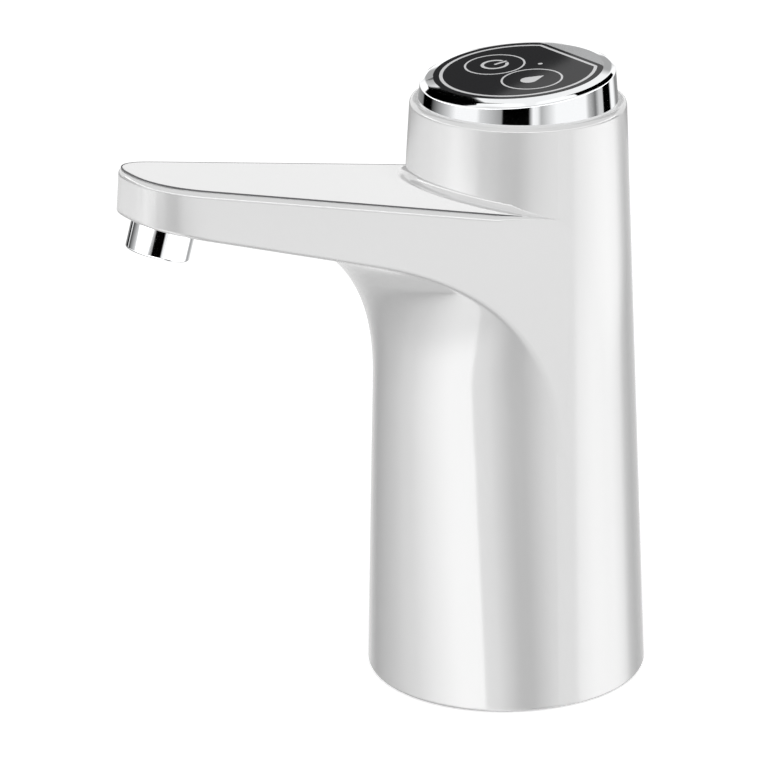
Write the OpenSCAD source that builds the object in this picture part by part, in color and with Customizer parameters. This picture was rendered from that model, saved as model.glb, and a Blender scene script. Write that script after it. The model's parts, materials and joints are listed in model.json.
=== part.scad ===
// Electric water jug pump for a large bottle.
// Origin: centre of the base on the bottle neck axis. +Z up, spout along -X, all sizes in mm.

/* [Body] */
// Radius of the round base
base_r = 37.5; // [34:0.1:41]
// Radius of the head at its rim
rim_r = 28.7; // [26.5:0.1:31]
// Height of the head rim
rim_z = 161.5; // [150:0.5:175]
// Reach of the column front from the axis
front_reach = 40.8; // [38:0.1:44]
// Wall thickness of the moulded shell
wall = 2.4; // [1.8:0.1:3]
// Rounding of the bottom edge
base_edge = 1.2; // [0.6:0.1:1.8]
// Rounding of the head rim
rim_edge = 1.5; // [0.8:0.1:2]

/* [Arm] */
// Reach of the spout arm from the axis
arm_reach = 117.5; // [105:0.5:135]
// Angle between each side wall and the arm axis
arm_taper = 7.5; // [5:0.1:9]
// Height of the arm top plane on the axis
arm_top_z = 135.2; // [130:0.1:140]
// Upward slope of the arm top
arm_top_rise = 12; // [9:0.1:14]
// Height of the arm underside plane on the axis
arm_under_z = 113.8; // [108:0.1:118]
// Upward slope of the arm underside
arm_under_rise = 16.4; // [14:0.1:18]
// Rounding of the arm top edge
arm_edge = 2.1; // [0.8:0.1:2.4]
// Fillet where the head rises from the arm
head_fillet = 2.4; // [1:0.1:4]
// Width of the shell border around the arm cover
cover_border = 2.4; // [2.4:0.1:4]
// Thickness of the arm cover
cover_t = 2; // [1.4:0.1:2.6]
// Gap around the arm cover
cover_gap = 0.25; // [0.1:0.05:0.5]
// Width of the ledge that carries the arm cover
cover_ledge = 1.8; // [1:0.1:2.5]

/* [Sweep under the arm] */
// Height where the wall edge leaves the column
edge_start_z = 72; // [60:0.5:85]
// Length of flat wall beside the column
edge_flat = 3.2; // [2:0.1:6]
// Distance from the axis where the wall edge becomes straight
edge_end = 59.5; // [50:0.5:68]
// Height where the column front starts to flare
flare_start_z = 86; // [75:0.5:95]
// Distance from the axis where the flare meets the underside
flare_end = 76; // [66:0.5:86]

/* [Touch head] */
// Outer radius of the bright trim ring
ring_r = 26.4; // [25.2:0.1:27.2]
// Height of the trim ring's upright wall on the axis
ring_h = 6; // [5:0.1:9]
// Slope of the touch panel towards the spout
panel_tilt = 5.6; // [2:0.1:8]
// Radius of the ridge around the sloping face of the ring
ridge_r = 24.6; // [23.6:0.1:25]
// Height of the ridge above the upright wall
ridge_h = 0.85; // [0.5:0.05:1.1]
// Radius of the touch glass
glass_r = 22.5; // [21.5:0.1:23.2]
// Distance from the axis to the straight back edge of the glass
glass_back = 17.8; // [16.8:0.1:19]
// Thickness of the touch glass
glass_t = 1.2; // [0.8:0.1:1.6]
// Height of the glass above the upright wall
glass_h = 1.4; // [1.2:0.1:1.8]
// Radius of the sensing pads
pad_r = 5; // [4:0.1:6]
// Distance of each sensing pad from the centre line
pad_y = 8.5; // [7:0.1:10]
// Distance of the sensing pads from the axis towards the spout
pad_x = 1.6; // [0:0.1:3]
// Distance from the panel centre back to the indicator lamp
lamp_x = 7.2; // [6:0.1:9]
// Thickness of the circuit boards
board_t = 1.2; // [0.8:0.1:1.6]

/* [Bottle socket] */
// Radius of the socket that takes the bottle neck
socket_r = 27.9; // [27.5:0.1:28.5]
// Depth of the socket
socket_depth = 24; // [20:0.5:28]
// Length of the guiding land at the mouth of the socket
socket_land = 12; // [9:0.5:14]
// Wall of the socket collar
collar_wall = 2; // [1.6:0.1:3]
// Thickness of the flat seal at the end of the socket
seal_t = 2; // [1:0.1:3]

/* [Pump and motor] */
// Teeth on each pump gear
gear_teeth = 10; // [9:1:12]
// Gear module
gear_module = 1.2; // [1.1:0.05:1.3]
// Gear pressure angle
gear_pressure = 28; // [26:1:30]
// Thickness of the pump gears
gear_t = 8; // [6:0.5:9]
// Clearance between gear tips and chamber wall
gear_clear = 0.08; // [0.05:0.01:0.1]
// Offset of the pump from the bottle axis towards the spout
pump_x = 7; // [6:0.1:8]
// Outer radius of the motor can
motor_r = 12.2; // [11.5:0.1:13]
// Length of the motor can
motor_h = 31; // [26:0.5:34]
// Radius of the motor shaft
shaft_r = 1; // [0.8:0.05:1.5]
// Radial clearance of shafts in their bearings
bearing_clear = 0.04; // [0.02:0.01:0.08]
// Radius of the delivery barbs
barb_r = 2.5; // [2.2:0.1:2.7]
// Radius of the suction spigot
spigot_r = 3; // [2.6:0.1:3.6]
// Bore radius of the barbs and the spigot
barb_bore = 1.6; // [1.3:0.1:1.7]

/* [Power] */
// Radius of the rechargeable cell
cell_r = 9.2; // [9:0.1:9.5]
// Length of the rechargeable cell
cell_h = 65; // [60:0.5:70]
// Height of the charging socket
usb_z = 41; // [38:0.5:44]

/* [Outlet] */
// Radius of the bright nozzle sleeve
nozzle_r = 8.2; // [7:0.1:9]
// Length of nozzle below the arm
nozzle_drop = 7.8; // [6:0.1:10]
// Distance from the arm's reach back to the nozzle
nozzle_inset = 9.8; // [9.6:0.1:20]
// Outer radius of the delivery hose
hose_r = 3.5; // [3.2:0.1:3.8]
// Distance from the axis to the rising hose
riser_x = 33; // [31:0.1:34]

/* [Hidden] */
$fn = 96;

// Derived heights
deck_z = socket_depth + collar_wall;
deck_t = 2.5;
pump_z = deck_z + deck_t;
pump_cover_t = 4;
gasket_t = 0.3;
gear_z = pump_z + pump_cover_t + gasket_t;
pump_roof = 4;
pump_h = gear_t + pump_roof;
motor_z = gear_z + pump_h;
gear_pitch = gear_teeth * gear_module / 2;
gear_tip = gear_pitch + 0.85 * gear_module;
gear_y = gear_pitch + 0.03;
idler_pin = 1.5;
panel_z = rim_z + ring_h;
glass_ledge = 1.4;
glass_fit = 0.05;
glass_z = glass_h - glass_t;
carrier_t = 2;
board_z = glass_z - 5;
ring_bore = glass_r - glass_ledge;
nozzle_x = arm_reach - nozzle_inset;
// Larger than the whole part, for cutting tools
BIG = 400;

// Radius of the body at a height, taken in by w
function body_r(z, w = 0) = base_r + (rim_r - base_r) * z / rim_z - w;
// Centre of the round arm tip
tip_z = arm_top_z + tan(arm_top_rise) * arm_reach;
tip_r0 = (body_r(tip_z) - arm_reach * sin(arm_taper)) / (1 - sin(arm_taper));
tip_x = -(arm_reach - tip_r0);
function tip_r(z, w = 0) = body_r(z, w) + tip_x * sin(arm_taper);
// Arm top and underside planes; w moves the underside up into the shell
function top_z(x, d = 0) = arm_top_z - tan(arm_top_rise) * x - d / cos(arm_top_rise);
function under_z(x, w = 0) = arm_under_z - tan(arm_under_rise) * x + w / cos(arm_under_rise);
// Distance of a side wall from the centre line
function wall_y(x, z, w) = (body_r(z, w) + x * sin(arm_taper)) / cos(arm_taper);
function flat_x(s, z, w) = -body_r(z, w) * sin(arm_taper) - s * cos(arm_taper);

// Skin sampling
EDGE_N = 10;
RUN_N = 3;
TIP_N = 6;
BACK_N = 13;
LEVELS = 3 + EDGE_N + RUN_N + TIP_N;
FRONT_N = LEVELS - 2;
HALF_N = FRONT_N + BACK_N + 1;
RING_N = 2 * HALF_N - 2;

// Quadratic curve that starts upright at [x0, z0] and ends along the underside at x2
function sweep(x0, z0, x2, w, t) = let (z1 = under_z(x0, w), z2 = under_z(x2, w))
    [x0 + (x2 - x0) * t * t, (1 - t) * (1 - t) * z0 + 2 * t * (1 - t) * z1 + t * t * z2];
// Reach of the column front at a height
function front_x(z, w) = let (x0 = -front_reach + w, z0 = flare_start_z, z1 = under_z(x0, w),
        x2 = -flare_end, z2 = under_z(x2, w), a = z0 - 2 * z1 + z2, b = 2 * (z1 - z0))
    z <= z0 ? x0 : z >= z2 ? (arm_under_z + w / cos(arm_under_rise) - z) / tan(arm_under_rise)
    : let (t = (-b + sqrt(b * b - 4 * a * (z0 - z))) / (2 * a)) x0 + (x2 - x0) * t * t;
// Point at the end of the flat wall beside the column
function beside_column(z, w) = let (x = flat_x(edge_flat, z, w)) [x, wall_y(x, z, w), z];
// Wall edge point [x, y, z] at a level; the levels run from the base to the arm tip
function edge_point(r, w) =
    let (x0 = flat_x(edge_flat, edge_start_z, w) + w, x2 = -edge_end,
        zt = under_z(tip_x, w), rt = tip_r(zt, w), xt = tip_x - rt * sin(arm_taper))
    r == 0 ? beside_column(base_edge, w)
    : r == 1 ? beside_column(edge_start_z / 2, w)
    : r <= 2 + EDGE_N ? let (p = sweep(x0, edge_start_z, x2, w, (r - 2) / EDGE_N))
        [p[0], wall_y(p[0], p[1], w), p[1]]
    : r <= 2 + EDGE_N + RUN_N ? let (x = x2 + (xt - x2) * (r - 2 - EDGE_N) / RUN_N, z = under_z(x, w))
        [x, wall_y(x, z, w), z]
    : let (g = (90 - arm_taper) * (LEVELS - 1 - r) / TIP_N, x = tip_x - rt * cos(g))
        [x, rt * sin(g), under_z(x, w)];
// Station that carries the wall edge at a level
function edge_station(r) = min(LEVELS - 1 - r, FRONT_N - 1);
// Point on the column or underside: an elliptic arc from the front to the wall edge
function arc_point(i, r, w) = let (e = edge_point(r, w), n = edge_station(r), a = -front_x(e[2], w),
        f = acos(min(0.99999, -e[0] / a)), q = n > 0 ? i / n : 0)
    [-a * cos(f * q), n > 0 ? -e[1] * sin(f * q) / sin(f) : 0, e[2]];
function angle_at(i) = (90 + arm_taper) * (1 - (i - FRONT_N) / BACK_N);
// Point on the outer wall line of a station at height z, taken in by d
function wall_line(i, z, w, d) = i >= FRONT_N
    ? [body_r(z, w + d) * cos(angle_at(i)), -body_r(z, w + d) * sin(angle_at(i))]
    : i <= TIP_N ? let (g = (90 - arm_taper) * i / TIP_N)
        [tip_x - tip_r(z, w + d) * cos(g), -tip_r(z, w + d) * sin(g)]
    : let (x = edge_point(LEVELS - 1 - i, 0)[0], s = -(x + body_r(z) * sin(arm_taper)) / cos(arm_taper))
        [flat_x(s, z, w + d), -(body_r(z, w + d) * cos(arm_taper) - s * sin(arm_taper))];
// Highest level on the body side before the head rows start
SIDE_TOP = 126;
function lower_point(i, r, w) = i >= FRONT_N
    ? let (z = min(edge_point(r, w)[2], SIDE_TOP)) concat(wall_line(i, z, w, 0), [z])
    : r > LEVELS - 1 - i ? arc_point(i, LEVELS - 1 - i, w) : arc_point(i, r, w);
// Gap between the arm outline and the head at a station
function head_gap(i, w) = let (z = arm_top_z, p = wall_line(i, z, w, 0)) max(0, norm(p) - body_r(z, w));
function at_top(i, w, d, drop) =
    let (p = wall_line(i, arm_top_z, w, d), q = wall_line(i, top_z(p[0], drop), w, d))
    [q[0], q[1], top_z(q[0], drop)];
// Point beside the head at radius offset d and height h above the arm top
function by_head(i, w, d, h, drop) = let (p = wall_line(i, arm_top_z, w, 0), u = p / norm(p),
        x = u[0] * body_r(arm_top_z, w), z = top_z(x, drop) + h, r = body_r(z, w) + d)
    [u[0] * r, u[1] * r, top_z(u[0] * r, drop) + h];
function on_cone(i, z, w) =
    let (p = wall_line(i, arm_top_z, w, 0), u = p / norm(p)) concat(u * body_r(z, w), [z]);
STEPS = [30, 60, 90];
function upper_point(i, k) =
    let (g = head_gap(i, 0), e = min(arm_edge, 0.3 * g), f = min(head_fillet, 0.5 * g))
    i >= FRONT_N ? on_cone(i, SIDE_TOP + 1.6 * (k + 1), 0)
    : k == 0 ? let (p = at_top(i, 0, 0, 0)) [p[0], p[1], p[2] - e]
    : k <= 3 ? let (a = STEPS[k - 1], p = at_top(i, 0, e * (1 - cos(a)), 0))
        [p[0], p[1], p[2] - e * (1 - sin(a))]
    : k == 4 ? by_head(i, 0, f, 0, 0)
    : let (a = STEPS[k - 5]) by_head(i, 0, f * (1 - sin(a)), f * (1 - cos(a)), 0);
function rim_point(i, k) = let (a = k * 30)
    on_cone(i, rim_z - rim_edge * (1 - sin(a)), rim_edge * (1 - cos(a)));
// Inside of the shell, from the head opening down
SHELF = cover_t + 2;
head_bore = ring_r - 1.1;
function inside_point(i, k) = let (p = on_cone(i, rim_z, 0), u = [p[0], p[1]] / norm([p[0], p[1]]))
    k == 0 ? concat(u * head_bore, [rim_z])
    : k == 1 ? concat(u * head_bore, [rim_z - wall])
    : k == 2 ? on_cone(i, rim_z - wall, wall)
    : i >= FRONT_N ? on_cone(i, SIDE_TOP + 4 - 2 * (k - 3), wall)
    : k == 3 ? by_head(i, wall, 0, 0, SHELF) : at_top(i, wall, 0, SHELF);

OUT_LOW = 2;
OUT_UP = OUT_LOW + LEVELS;
OUT_RIM = OUT_UP + 8;
IN_UP = OUT_RIM + 4;
IN_LOW = IN_UP + 5;
ROWS = IN_LOW + LEVELS + 1;
function foot(i, w, z) = let (p = i >= FRONT_N ? wall_line(i, 0, w, 0)
    : let (q = arc_point(i, 0, w)) [q[0], q[1]]) [p[0], p[1], z];
function station(i, row) =
    row == 0 ? foot(i, base_edge, 0)
    : row == 1 ? foot(i, 0.3 * base_edge, 0.3 * base_edge)
    : row < OUT_UP ? lower_point(i, row - OUT_LOW, 0)
    : row < OUT_RIM ? upper_point(i, row - OUT_UP)
    : row < IN_UP ? rim_point(i, row - OUT_RIM)
    : row < IN_LOW ? inside_point(i, row - IN_UP)
    : row < ROWS - 1 ? lower_point(i, LEVELS - 1 - (row - IN_LOW), wall)
    : foot(i, wall, 0);
// Rows that fall together on one station share one point
function front_row(i, row) =
    row >= OUT_LOW && row < OUT_UP ? min(row, OUT_LOW + LEVELS - 1 - i)
    : row >= IN_LOW && row < ROWS - 1 ? max(row, IN_LOW + i) : row;
function back_row(row) = let (over = [for (r = [0 : LEVELS - 1]) if (edge_point(r, 0)[2] > SIDE_TOP) r][0],
        inner = [for (r = [0 : LEVELS - 1]) if (edge_point(r, wall)[2] > SIDE_TOP) r][0])
    row >= OUT_LOW && row < OUT_UP ? min(row, OUT_LOW + over)
    : row >= IN_LOW && row < ROWS - 1 ? max(row, IN_LOW + LEVELS - 1 - inner) : row;
BACK_ROWS = [for (row = [0 : ROWS - 1]) back_row(row)];
function half_of(k) = k < HALF_N ? k : RING_N - k;
function index(k, row) = let (i = half_of(k % RING_N))
    (k % RING_N) * ROWS + (i < FRONT_N ? front_row(i, row % ROWS) : BACK_ROWS[row % ROWS]);
function flip(p, k) = k < HALF_N ? p : [p[0], -p[1], p[2]];
HALF = [for (i = [0 : HALF_N - 1]) [for (row = [0 : ROWS - 1]) station(i, row)]];
SKIN = [for (k = [0 : RING_N - 1]) for (row = [0 : ROWS - 1]) flip(HALF[half_of(k)][row], k)];
FACES = [for (k = [0 : RING_N - 1]) for (row = [0 : ROWS - 1])
    let (a = index(k, row), b = index(k + 1, row), c = index(k + 1, row + 1), d = index(k, row + 1))
    each [if (a != b && b != c && a != c) [a, c, b], if (a != c && c != d && a != d) [a, d, c]]];

module on_arm_top() { translate([0, 0, arm_top_z]) rotate([0, arm_top_rise, 0]) children(); }
module on_arm_under() { translate([0, 0, arm_under_z]) rotate([0, arm_under_rise, 0]) children(); }
module on_panel() { translate([0, 0, panel_z]) rotate([0, -panel_tilt, 0]) children(); }
module at_nozzle() { on_arm_under() translate([-nozzle_x / cos(arm_under_rise), 0, 0]) children(); }

// Plan of the arm cover in the plane of the arm top, taken in by d
function cover_near(d) = let (rc = body_r(arm_top_z + 6) + head_fillet + d - cover_border,
        zc = arm_top_z + 3, rw = body_r(zc, d), s = sqrt(rc * rc - rw * rw))
    concat([for (i = [0 : TIP_N]) let (p = at_top(i, 0, d, 0)) [p[0], p[1]]],
        [[flat_x(s, zc, d), -(rw * cos(arm_taper) - s * sin(arm_taper))]]);
function cover_arc(d) = let (p = cover_near(d)[TIP_N + 1], r = norm(p), a = atan2(-p[1], -p[0]))
    [for (k = [1 : 11]) let (b = a * (1 - k / 6)) [-r * cos(b), -r * sin(b)]];
module cover_plan(d) {
    near = cover_near(d);
    far = [for (k = [TIP_N + 1 : -1 : 1]) [near[k][0], -near[k][1]]];
    polygon([for (p = concat(near, cover_arc(d), far)) [p[0] / cos(arm_top_rise), p[1]]]);
}

module main_housing() color("white") difference() {
    polyhedron(points = SKIN, faces = FACES, convexity = 8);
    on_arm_top() translate([0, 0, -cover_t]) linear_extrude(BIG) cover_plan(cover_border - cover_gap);
    on_arm_top() translate([0, 0, -SHELF - 0.6])
        linear_extrude(SHELF - 0.4) cover_plan(cover_border + cover_ledge);
    at_nozzle() translate([0, 0, -3]) cylinder(r = nozzle_r + 0.05, h = 8);
    translate([body_r(usb_z, wall) - 2, 0, usb_z]) rotate([0, 90, 0])
        linear_extrude(BIG) slot(usb_r + 0.2, usb_half + 0.1);
}

// Slot with round ends along Y: half height r, half distance between the end centres
module slot(r, half) union() {
    square([2 * r, 2 * half], center = true);
    for (side = [-1, 1]) translate([0, side * half]) circle(r = r);
}

module arm_cover() color("white") on_arm_top() translate([0, 0, -cover_t])
    linear_extrude(cover_t) cover_plan(cover_border);

// Plan of the glass: a circle with a straight back edge, taken in by d
module glass_plan(d = 0) difference() {
    circle(r = glass_r - d);
    translate([glass_back - d, -glass_r]) square([glass_r, 2 * glass_r]);
}
// Section of the ring's face: a steep slope up to the ridge, then a gentle one up to the glass
outer_fall = (ridge_h + (ring_r - ridge_r) * tan(panel_tilt)) / (ring_r - ridge_r);
module ring_face() rotate_extrude() polygon([[0, -4 * ring_h], [2 * ring_r, -4 * ring_h],
    [2 * ring_r, ridge_h - (2 * ring_r - ridge_r) * outer_fall], [ridge_r, ridge_h],
    [glass_r, glass_h], [0, glass_h]]);

// Bright ring: an upright wall under a sloping face, with a ledge for the glass
spigot_in = 4;
spigot_fit = 0.15;
module trim_ring() color("silver") difference() {
    union() {
        intersection() {
            translate([0, 0, rim_z]) cylinder(r = ring_r, h = 3 * ring_h);
            on_panel() ring_face();
        }
        translate([0, 0, rim_z - spigot_in]) cylinder(r = head_bore - spigot_fit, h = spigot_in + 1);
    }
    on_panel() translate([0, 0, glass_z]) linear_extrude(BIG) glass_plan(-glass_fit);
    on_panel() translate([0, 0, glass_z - carrier_t]) linear_extrude(BIG) glass_plan(glass_ledge);
    on_panel() translate([0, 0, glass_z - carrier_t - BIG]) cylinder(r = ring_bore, h = BIG);
}

module touch_glass() color("black") on_panel() translate([0, 0, glass_z]) linear_extrude(glass_t) glass_plan();

carrier_r = ring_bore - 0.1;
post_r = 2;
post_ring = carrier_r - 3.6;
post_turn = 60;
post_hole = 0.8;
pad_room = 0.3;
lamp_room = 1.8;
module round_three(r, turn = 0) for (a = [0, 120, 240])
    rotate([0, 0, a + turn]) translate([r, 0, 0]) children();
module both_pads() for (side = [-1, 1]) translate([-pad_x, side * pad_y, 0]) children();

module panel_carrier() color("dimgray") on_panel() difference() {
    union() {
        translate([0, 0, glass_z - carrier_t]) linear_extrude(carrier_t) glass_plan(glass_ledge + 0.1);
        round_three(post_ring, post_turn) translate([0, 0, board_z])
            cylinder(r = post_r, h = glass_z - board_z - carrier_t + 1);
    }
    both_pads() translate([0, 0, glass_z - carrier_t - 1]) cylinder(r = pad_r + pad_room, h = carrier_t + 2);
    translate([lamp_x, 0, glass_z - carrier_t - 1]) cylinder(r = lamp_room, h = carrier_t + 2);
    round_three(post_ring, post_turn) translate([0, 0, board_z - 1]) cylinder(r = post_hole, h = carrier_t + 2);
}

board_r = carrier_r - 0.8;
module control_board() color("darkgreen") on_panel() difference() {
    translate([0, 0, board_z - board_t]) cylinder(r = board_r, h = board_t);
    round_three(post_ring, post_turn) translate([0, 0, board_z - 2 * board_t]) cylinder(r = 1.05, h = 3 * board_t);
}

// Chip, two plugs and a round buzzer under the board
chip = [7, 7, 1.4];
plug = [6, 8, 5];
buzzer_r = 2.2;
module under_board(size, place) translate([place[0], place[1], -size[2] / 2]) cube(size, center = true);
module board_parts() color("gray") on_panel() translate([0, 0, board_z - board_t]) {
    under_board(chip, [0, 0]);
    under_board(plug, [9, -4.5]);
    under_board(plug, [-10, 1]);
    translate([4, 7, -buzzer_r]) cylinder(r = buzzer_r, h = buzzer_r);
}

module sensing_pads() color("darkgray") on_panel() both_pads()
    translate([0, 0, board_z]) cylinder(r = pad_r, h = glass_z - board_z);

lamp_r = 1.5;
module indicator_lamp() color("lightblue") on_panel() translate([lamp_x, 0, board_z]) {
    cylinder(r = lamp_r + 0.4, h = 1);
    cylinder(r = lamp_r, h = glass_z - board_z);
}

module board_screws() color("silver") on_panel() round_three(post_ring, post_turn) {
    translate([0, 0, board_z - board_t - 1.1]) cylinder(r = 1.7, h = 1.1);
    translate([0, 0, board_z - board_t - 0.1]) cylinder(r = 0.75, h = board_t + 2.5);
}

// Socket collar: closes the base, takes the bottle neck and carries the deck
flange_t = 2.5;
stop_r = 23.5;
deck_screw_ring = 26.4;
NEAR_FOOT = [for (i = [0 : HALF_N - 1]) let (p = foot(i, wall + 0.15, 0)) [p[0], p[1]]];
FAR_FOOT = [for (k = [HALF_N - 2 : -1 : 1]) [NEAR_FOOT[k][0], -NEAR_FOOT[k][1]]];
seal_seat = 0.4;
module base_collar() color("white") difference() {
    union() {
        linear_extrude(flange_t) polygon(concat(NEAR_FOOT, FAR_FOOT));
        cylinder(r = socket_r + collar_wall, h = deck_z);
    }
    translate([0, 0, -1]) cylinder(r = socket_r, h = socket_depth + 1);
    translate([0, 0, socket_land]) cylinder(r = socket_r + seal_seat, h = socket_depth - socket_land);
    cylinder(r = stop_r, h = deck_z + 1);
    round_three(deck_screw_ring, 30) translate([0, 0, socket_depth - 1]) cylinder(r = 1.1, h = 6);
}

module neck_seal() color("gainsboro") translate([0, 0, socket_depth - seal_t]) difference() {
    cylinder(r = socket_r + seal_seat, h = seal_t);
    translate([0, 0, -1]) cylinder(r = stop_r, h = seal_t + 2);
}

// The charging board stands against the back wall and the cell in front of it
charge_w = 16;
charge_h = 20;
charge_gap = 1.8;
charge_x = sqrt(pow(body_r(pump_z + charge_h, wall), 2) - pow(charge_w / 2, 2)) - charge_gap - board_t;
cell_x = charge_x - cell_r - 2.2;
cell_y = -3;
deck_r = body_r(pump_z, wall) - 2.4;
boss_r = spigot_r + 1;
module chassis() color("whitesmoke") difference() {
    translate([0, 0, deck_z]) cylinder(r = deck_r, h = deck_t);
    translate([0, 0, deck_z - 1]) cylinder(r = boss_r + 0.1, h = deck_t + 2);
    round_three(deck_screw_ring, 30) translate([0, 0, deck_z - 1]) cylinder(r = 1.4, h = deck_t + 2);
    pump_screw_places() translate([0, 0, deck_z - 1]) cylinder(r = 1.3, h = deck_t + 2);
}

module deck_screws() color("silver") round_three(deck_screw_ring, 30) {
    translate([0, 0, pump_z]) cylinder(r = 2.4, h = 1.4);
    translate([0, 0, socket_depth]) cylinder(r = 1.05, h = pump_z - socket_depth + 0.5);
}

// Cup that holds the foot of the cell
cradle_h = 22;
module cell_cradle() color("gray") translate([cell_x, cell_y, pump_z]) difference() {
    cylinder(r = cell_r + 1.8, h = cradle_h);
    translate([0, 0, 1.5]) cylinder(r = cell_r + 0.15, h = cradle_h);
}

module cell() color("steelblue") translate([cell_x, cell_y, pump_z + 1.5]) {
    cylinder(r = cell_r, h = cell_h - 1.5);
    cylinder(r = 3, h = cell_h);
}

usb_face = body_r(usb_z) - 0.6;
usb_r = 1.6;
usb_half = 2.9;
usb_skin = 0.35;
module charge_board() color("darkgreen") translate([charge_x, -charge_w / 2, pump_z])
    cube([board_t, charge_w, charge_h]);

module charge_socket() color("silver") translate([charge_x + board_t, 0, usb_z])
    rotate([0, 90, 0]) difference() {
    linear_extrude(usb_face - charge_x - board_t) slot(usb_r, usb_half);
    translate([0, 0, 1.5]) linear_extrude(BIG) difference() {
        slot(usb_r - usb_skin, usb_half);
        square([2 * usb_skin, 2 * usb_half - 0.6], center = true);
    }
}

// Gear pump under the motor
module at_drive() translate([-pump_x, gear_y, 0]) children();
module at_idler() translate([-pump_x, -gear_y, 0]) children();
pump_hx = 11.2;
pump_hy = gear_y + gear_tip + 4;
pump_corner = 4;
module pump_plan(d = 0) translate([-pump_x, 0]) union() {
    square([2 * (pump_hx - d), 2 * (pump_hy - pump_corner)], center = true);
    square([2 * (pump_hx - pump_corner), 2 * (pump_hy - d)], center = true);
    for (x = [-1, 1]) for (y = [-1, 1])
        translate([x * (pump_hx - pump_corner), y * (pump_hy - pump_corner)]) circle(r = pump_corner - d);
}
module pump_screw_places() for (x = [-1, 1]) for (y = [-1, 1])
    translate([-pump_x + x * (pump_hx - 3), y * (pump_hy - 3), 0]) children();

module barb(r, h) {
    cylinder(r = r - 0.4, h = h);
    for (k = [0, 1, 2]) translate([0, 0, h - 2.4 * (k + 1)]) cylinder(r1 = r, r2 = r - 0.6, h = 2.4);
}

// Plain spigot with a chamfered end for the suction hose, pressed into the pump cover.
// It ends above the land, so that a solid plug fits the land too.
inlet_drop = deck_z - socket_land - 0.5;
spigot_edge = 0.8;
press_in = 2.5;
module spigot(r, h) {
    cylinder(r = r, h = h - spigot_edge);
    translate([0, 0, h - spigot_edge]) cylinder(r1 = r, r2 = r - spigot_edge, h = spigot_edge);
}
module inlet_spigot() color("lightgray") difference() {
    union() {
        translate([0, 0, deck_z]) cylinder(r = boss_r, h = deck_t);
        translate([0, 0, pump_z - 1]) cylinder(r = spigot_r, h = press_in + 1);
        translate([0, 0, deck_z]) mirror([0, 0, 1]) spigot(spigot_r, inlet_drop);
    }
    cylinder(r = barb_bore, h = gear_z);
}
module pump_cover() color("lightgray") difference() {
    translate([0, 0, pump_z]) linear_extrude(pump_cover_t) pump_plan();
    translate([0, 0, pump_z - 1]) cylinder(r = spigot_r, h = press_in + 1);
    translate([0, 0, pump_z]) cylinder(r = barb_bore, h = pump_cover_t + 1);
    pump_screw_places() translate([0, 0, pump_z - 1]) cylinder(r = 1.3, h = pump_cover_t + 2);
    at_idler() translate([0, 0, pump_z + pump_cover_t - pin_seat]) cylinder(r = idler_pin, h = pump_cover_t);
}

chamber_r = gear_tip + gear_clear;
outlet_z = gear_z + gear_t / 2;
module pump_body() color("lightgray") difference() {
    union() {
        translate([0, 0, gear_z]) linear_extrude(pump_h) pump_plan();
        translate([-pump_x - pump_hx + 1, 0, outlet_z]) rotate([0, -90, 0]) barb(barb_r, 8);
    }
    at_drive() translate([0, 0, gear_z - 1]) cylinder(r = chamber_r, h = gear_t + 0.9);
    at_idler() translate([0, 0, gear_z - 1]) cylinder(r = chamber_r, h = gear_t + 0.9);
    translate([-2.9, -2.4, gear_z - 1]) cube([5, 4.8, gear_t + 1]);
    translate([-pump_x - 4, 0, outlet_z]) rotate([0, -90, 0]) cylinder(r = barb_bore, h = 40);
    at_drive() translate([0, 0, gear_z]) cylinder(r = shaft_r + bearing_clear, h = pump_h + 1);
    at_drive() translate([0, 0, motor_z - 2]) cylinder(r = 3.15, h = 3);
    at_idler() translate([0, 0, gear_z]) cylinder(r = idler_pin, h = gear_t + pin_seat);
    pump_screw_places() translate([0, 0, gear_z - 1]) cylinder(r = 1.05, h = 8);
}

module pump_gasket() color("dimgray") translate([0, 0, pump_z + pump_cover_t])
    linear_extrude(gasket_t) difference() {
    pump_plan(0.6);
    translate([-pump_x, gear_y]) circle(r = chamber_r + 0.8);
    translate([-pump_x, -gear_y]) circle(r = chamber_r + 0.8);
    translate([-3.4, -3]) square([6, 6]);
    translate([-pump_x - 6.5, -3]) square([6, 6]);
    pump_screw_places() circle(r = 1.4);
}

screw_head_r = 2.2;
screw_head_h = 1.4;
screw_grip = 6;
module pump_screws() color("silver") pump_screw_places() {
    translate([0, 0, deck_z - screw_head_h]) cylinder(r = screw_head_r, h = screw_head_h);
    translate([0, 0, deck_z - 0.1]) cylinder(r = 1, h = pump_z - deck_z + pump_cover_t + screw_grip);
}

// Involute spur gear
function involute(rb, t) = [rb * (cos(t) + t * PI / 180 * sin(t)), rb * (sin(t) - t * PI / 180 * cos(t))];
function turned(p, a) = [p[0] * cos(a) - p[1] * sin(a), p[0] * sin(a) + p[1] * cos(a)];
gear_base = gear_pitch * cos(gear_pressure);
gear_root = gear_pitch - 1.1 * gear_module;
gear_slack = 1.2;
function roll_at(r) = sqrt(max(0, r * r / (gear_base * gear_base) - 1)) * 180 / PI;
function flank(n = 6) =
    let (half = 90 / gear_teeth - gear_slack, lead = tan(gear_pressure) * 180 / PI - gear_pressure)
    [for (k = [0 : n]) turned(involute(gear_base, roll_at(gear_tip) * k / n), -half - lead)];
function tooth() = let (f = flank(), a = atan2(f[0][1], f[0][0]))
    concat([turned([gear_root, 0], a)], f, [for (k = [len(f) - 1 : -1 : 0]) [f[k][0], -f[k][1]]],
        [turned([gear_root, 0], -a)]);
module gear_plan()
    polygon([for (n = [0 : gear_teeth - 1]) for (p = tooth()) turned(p, n * 360 / gear_teeth)]);

gear_lift = -0.2;
module drive_gear() color("ivory") at_drive() translate([0, 0, gear_z + gear_lift]) difference() {
    linear_extrude(gear_t) rotate(-90) gear_plan();
    translate([0, 0, -1]) cylinder(r = shaft_r, h = gear_t + 2);
}

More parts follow.
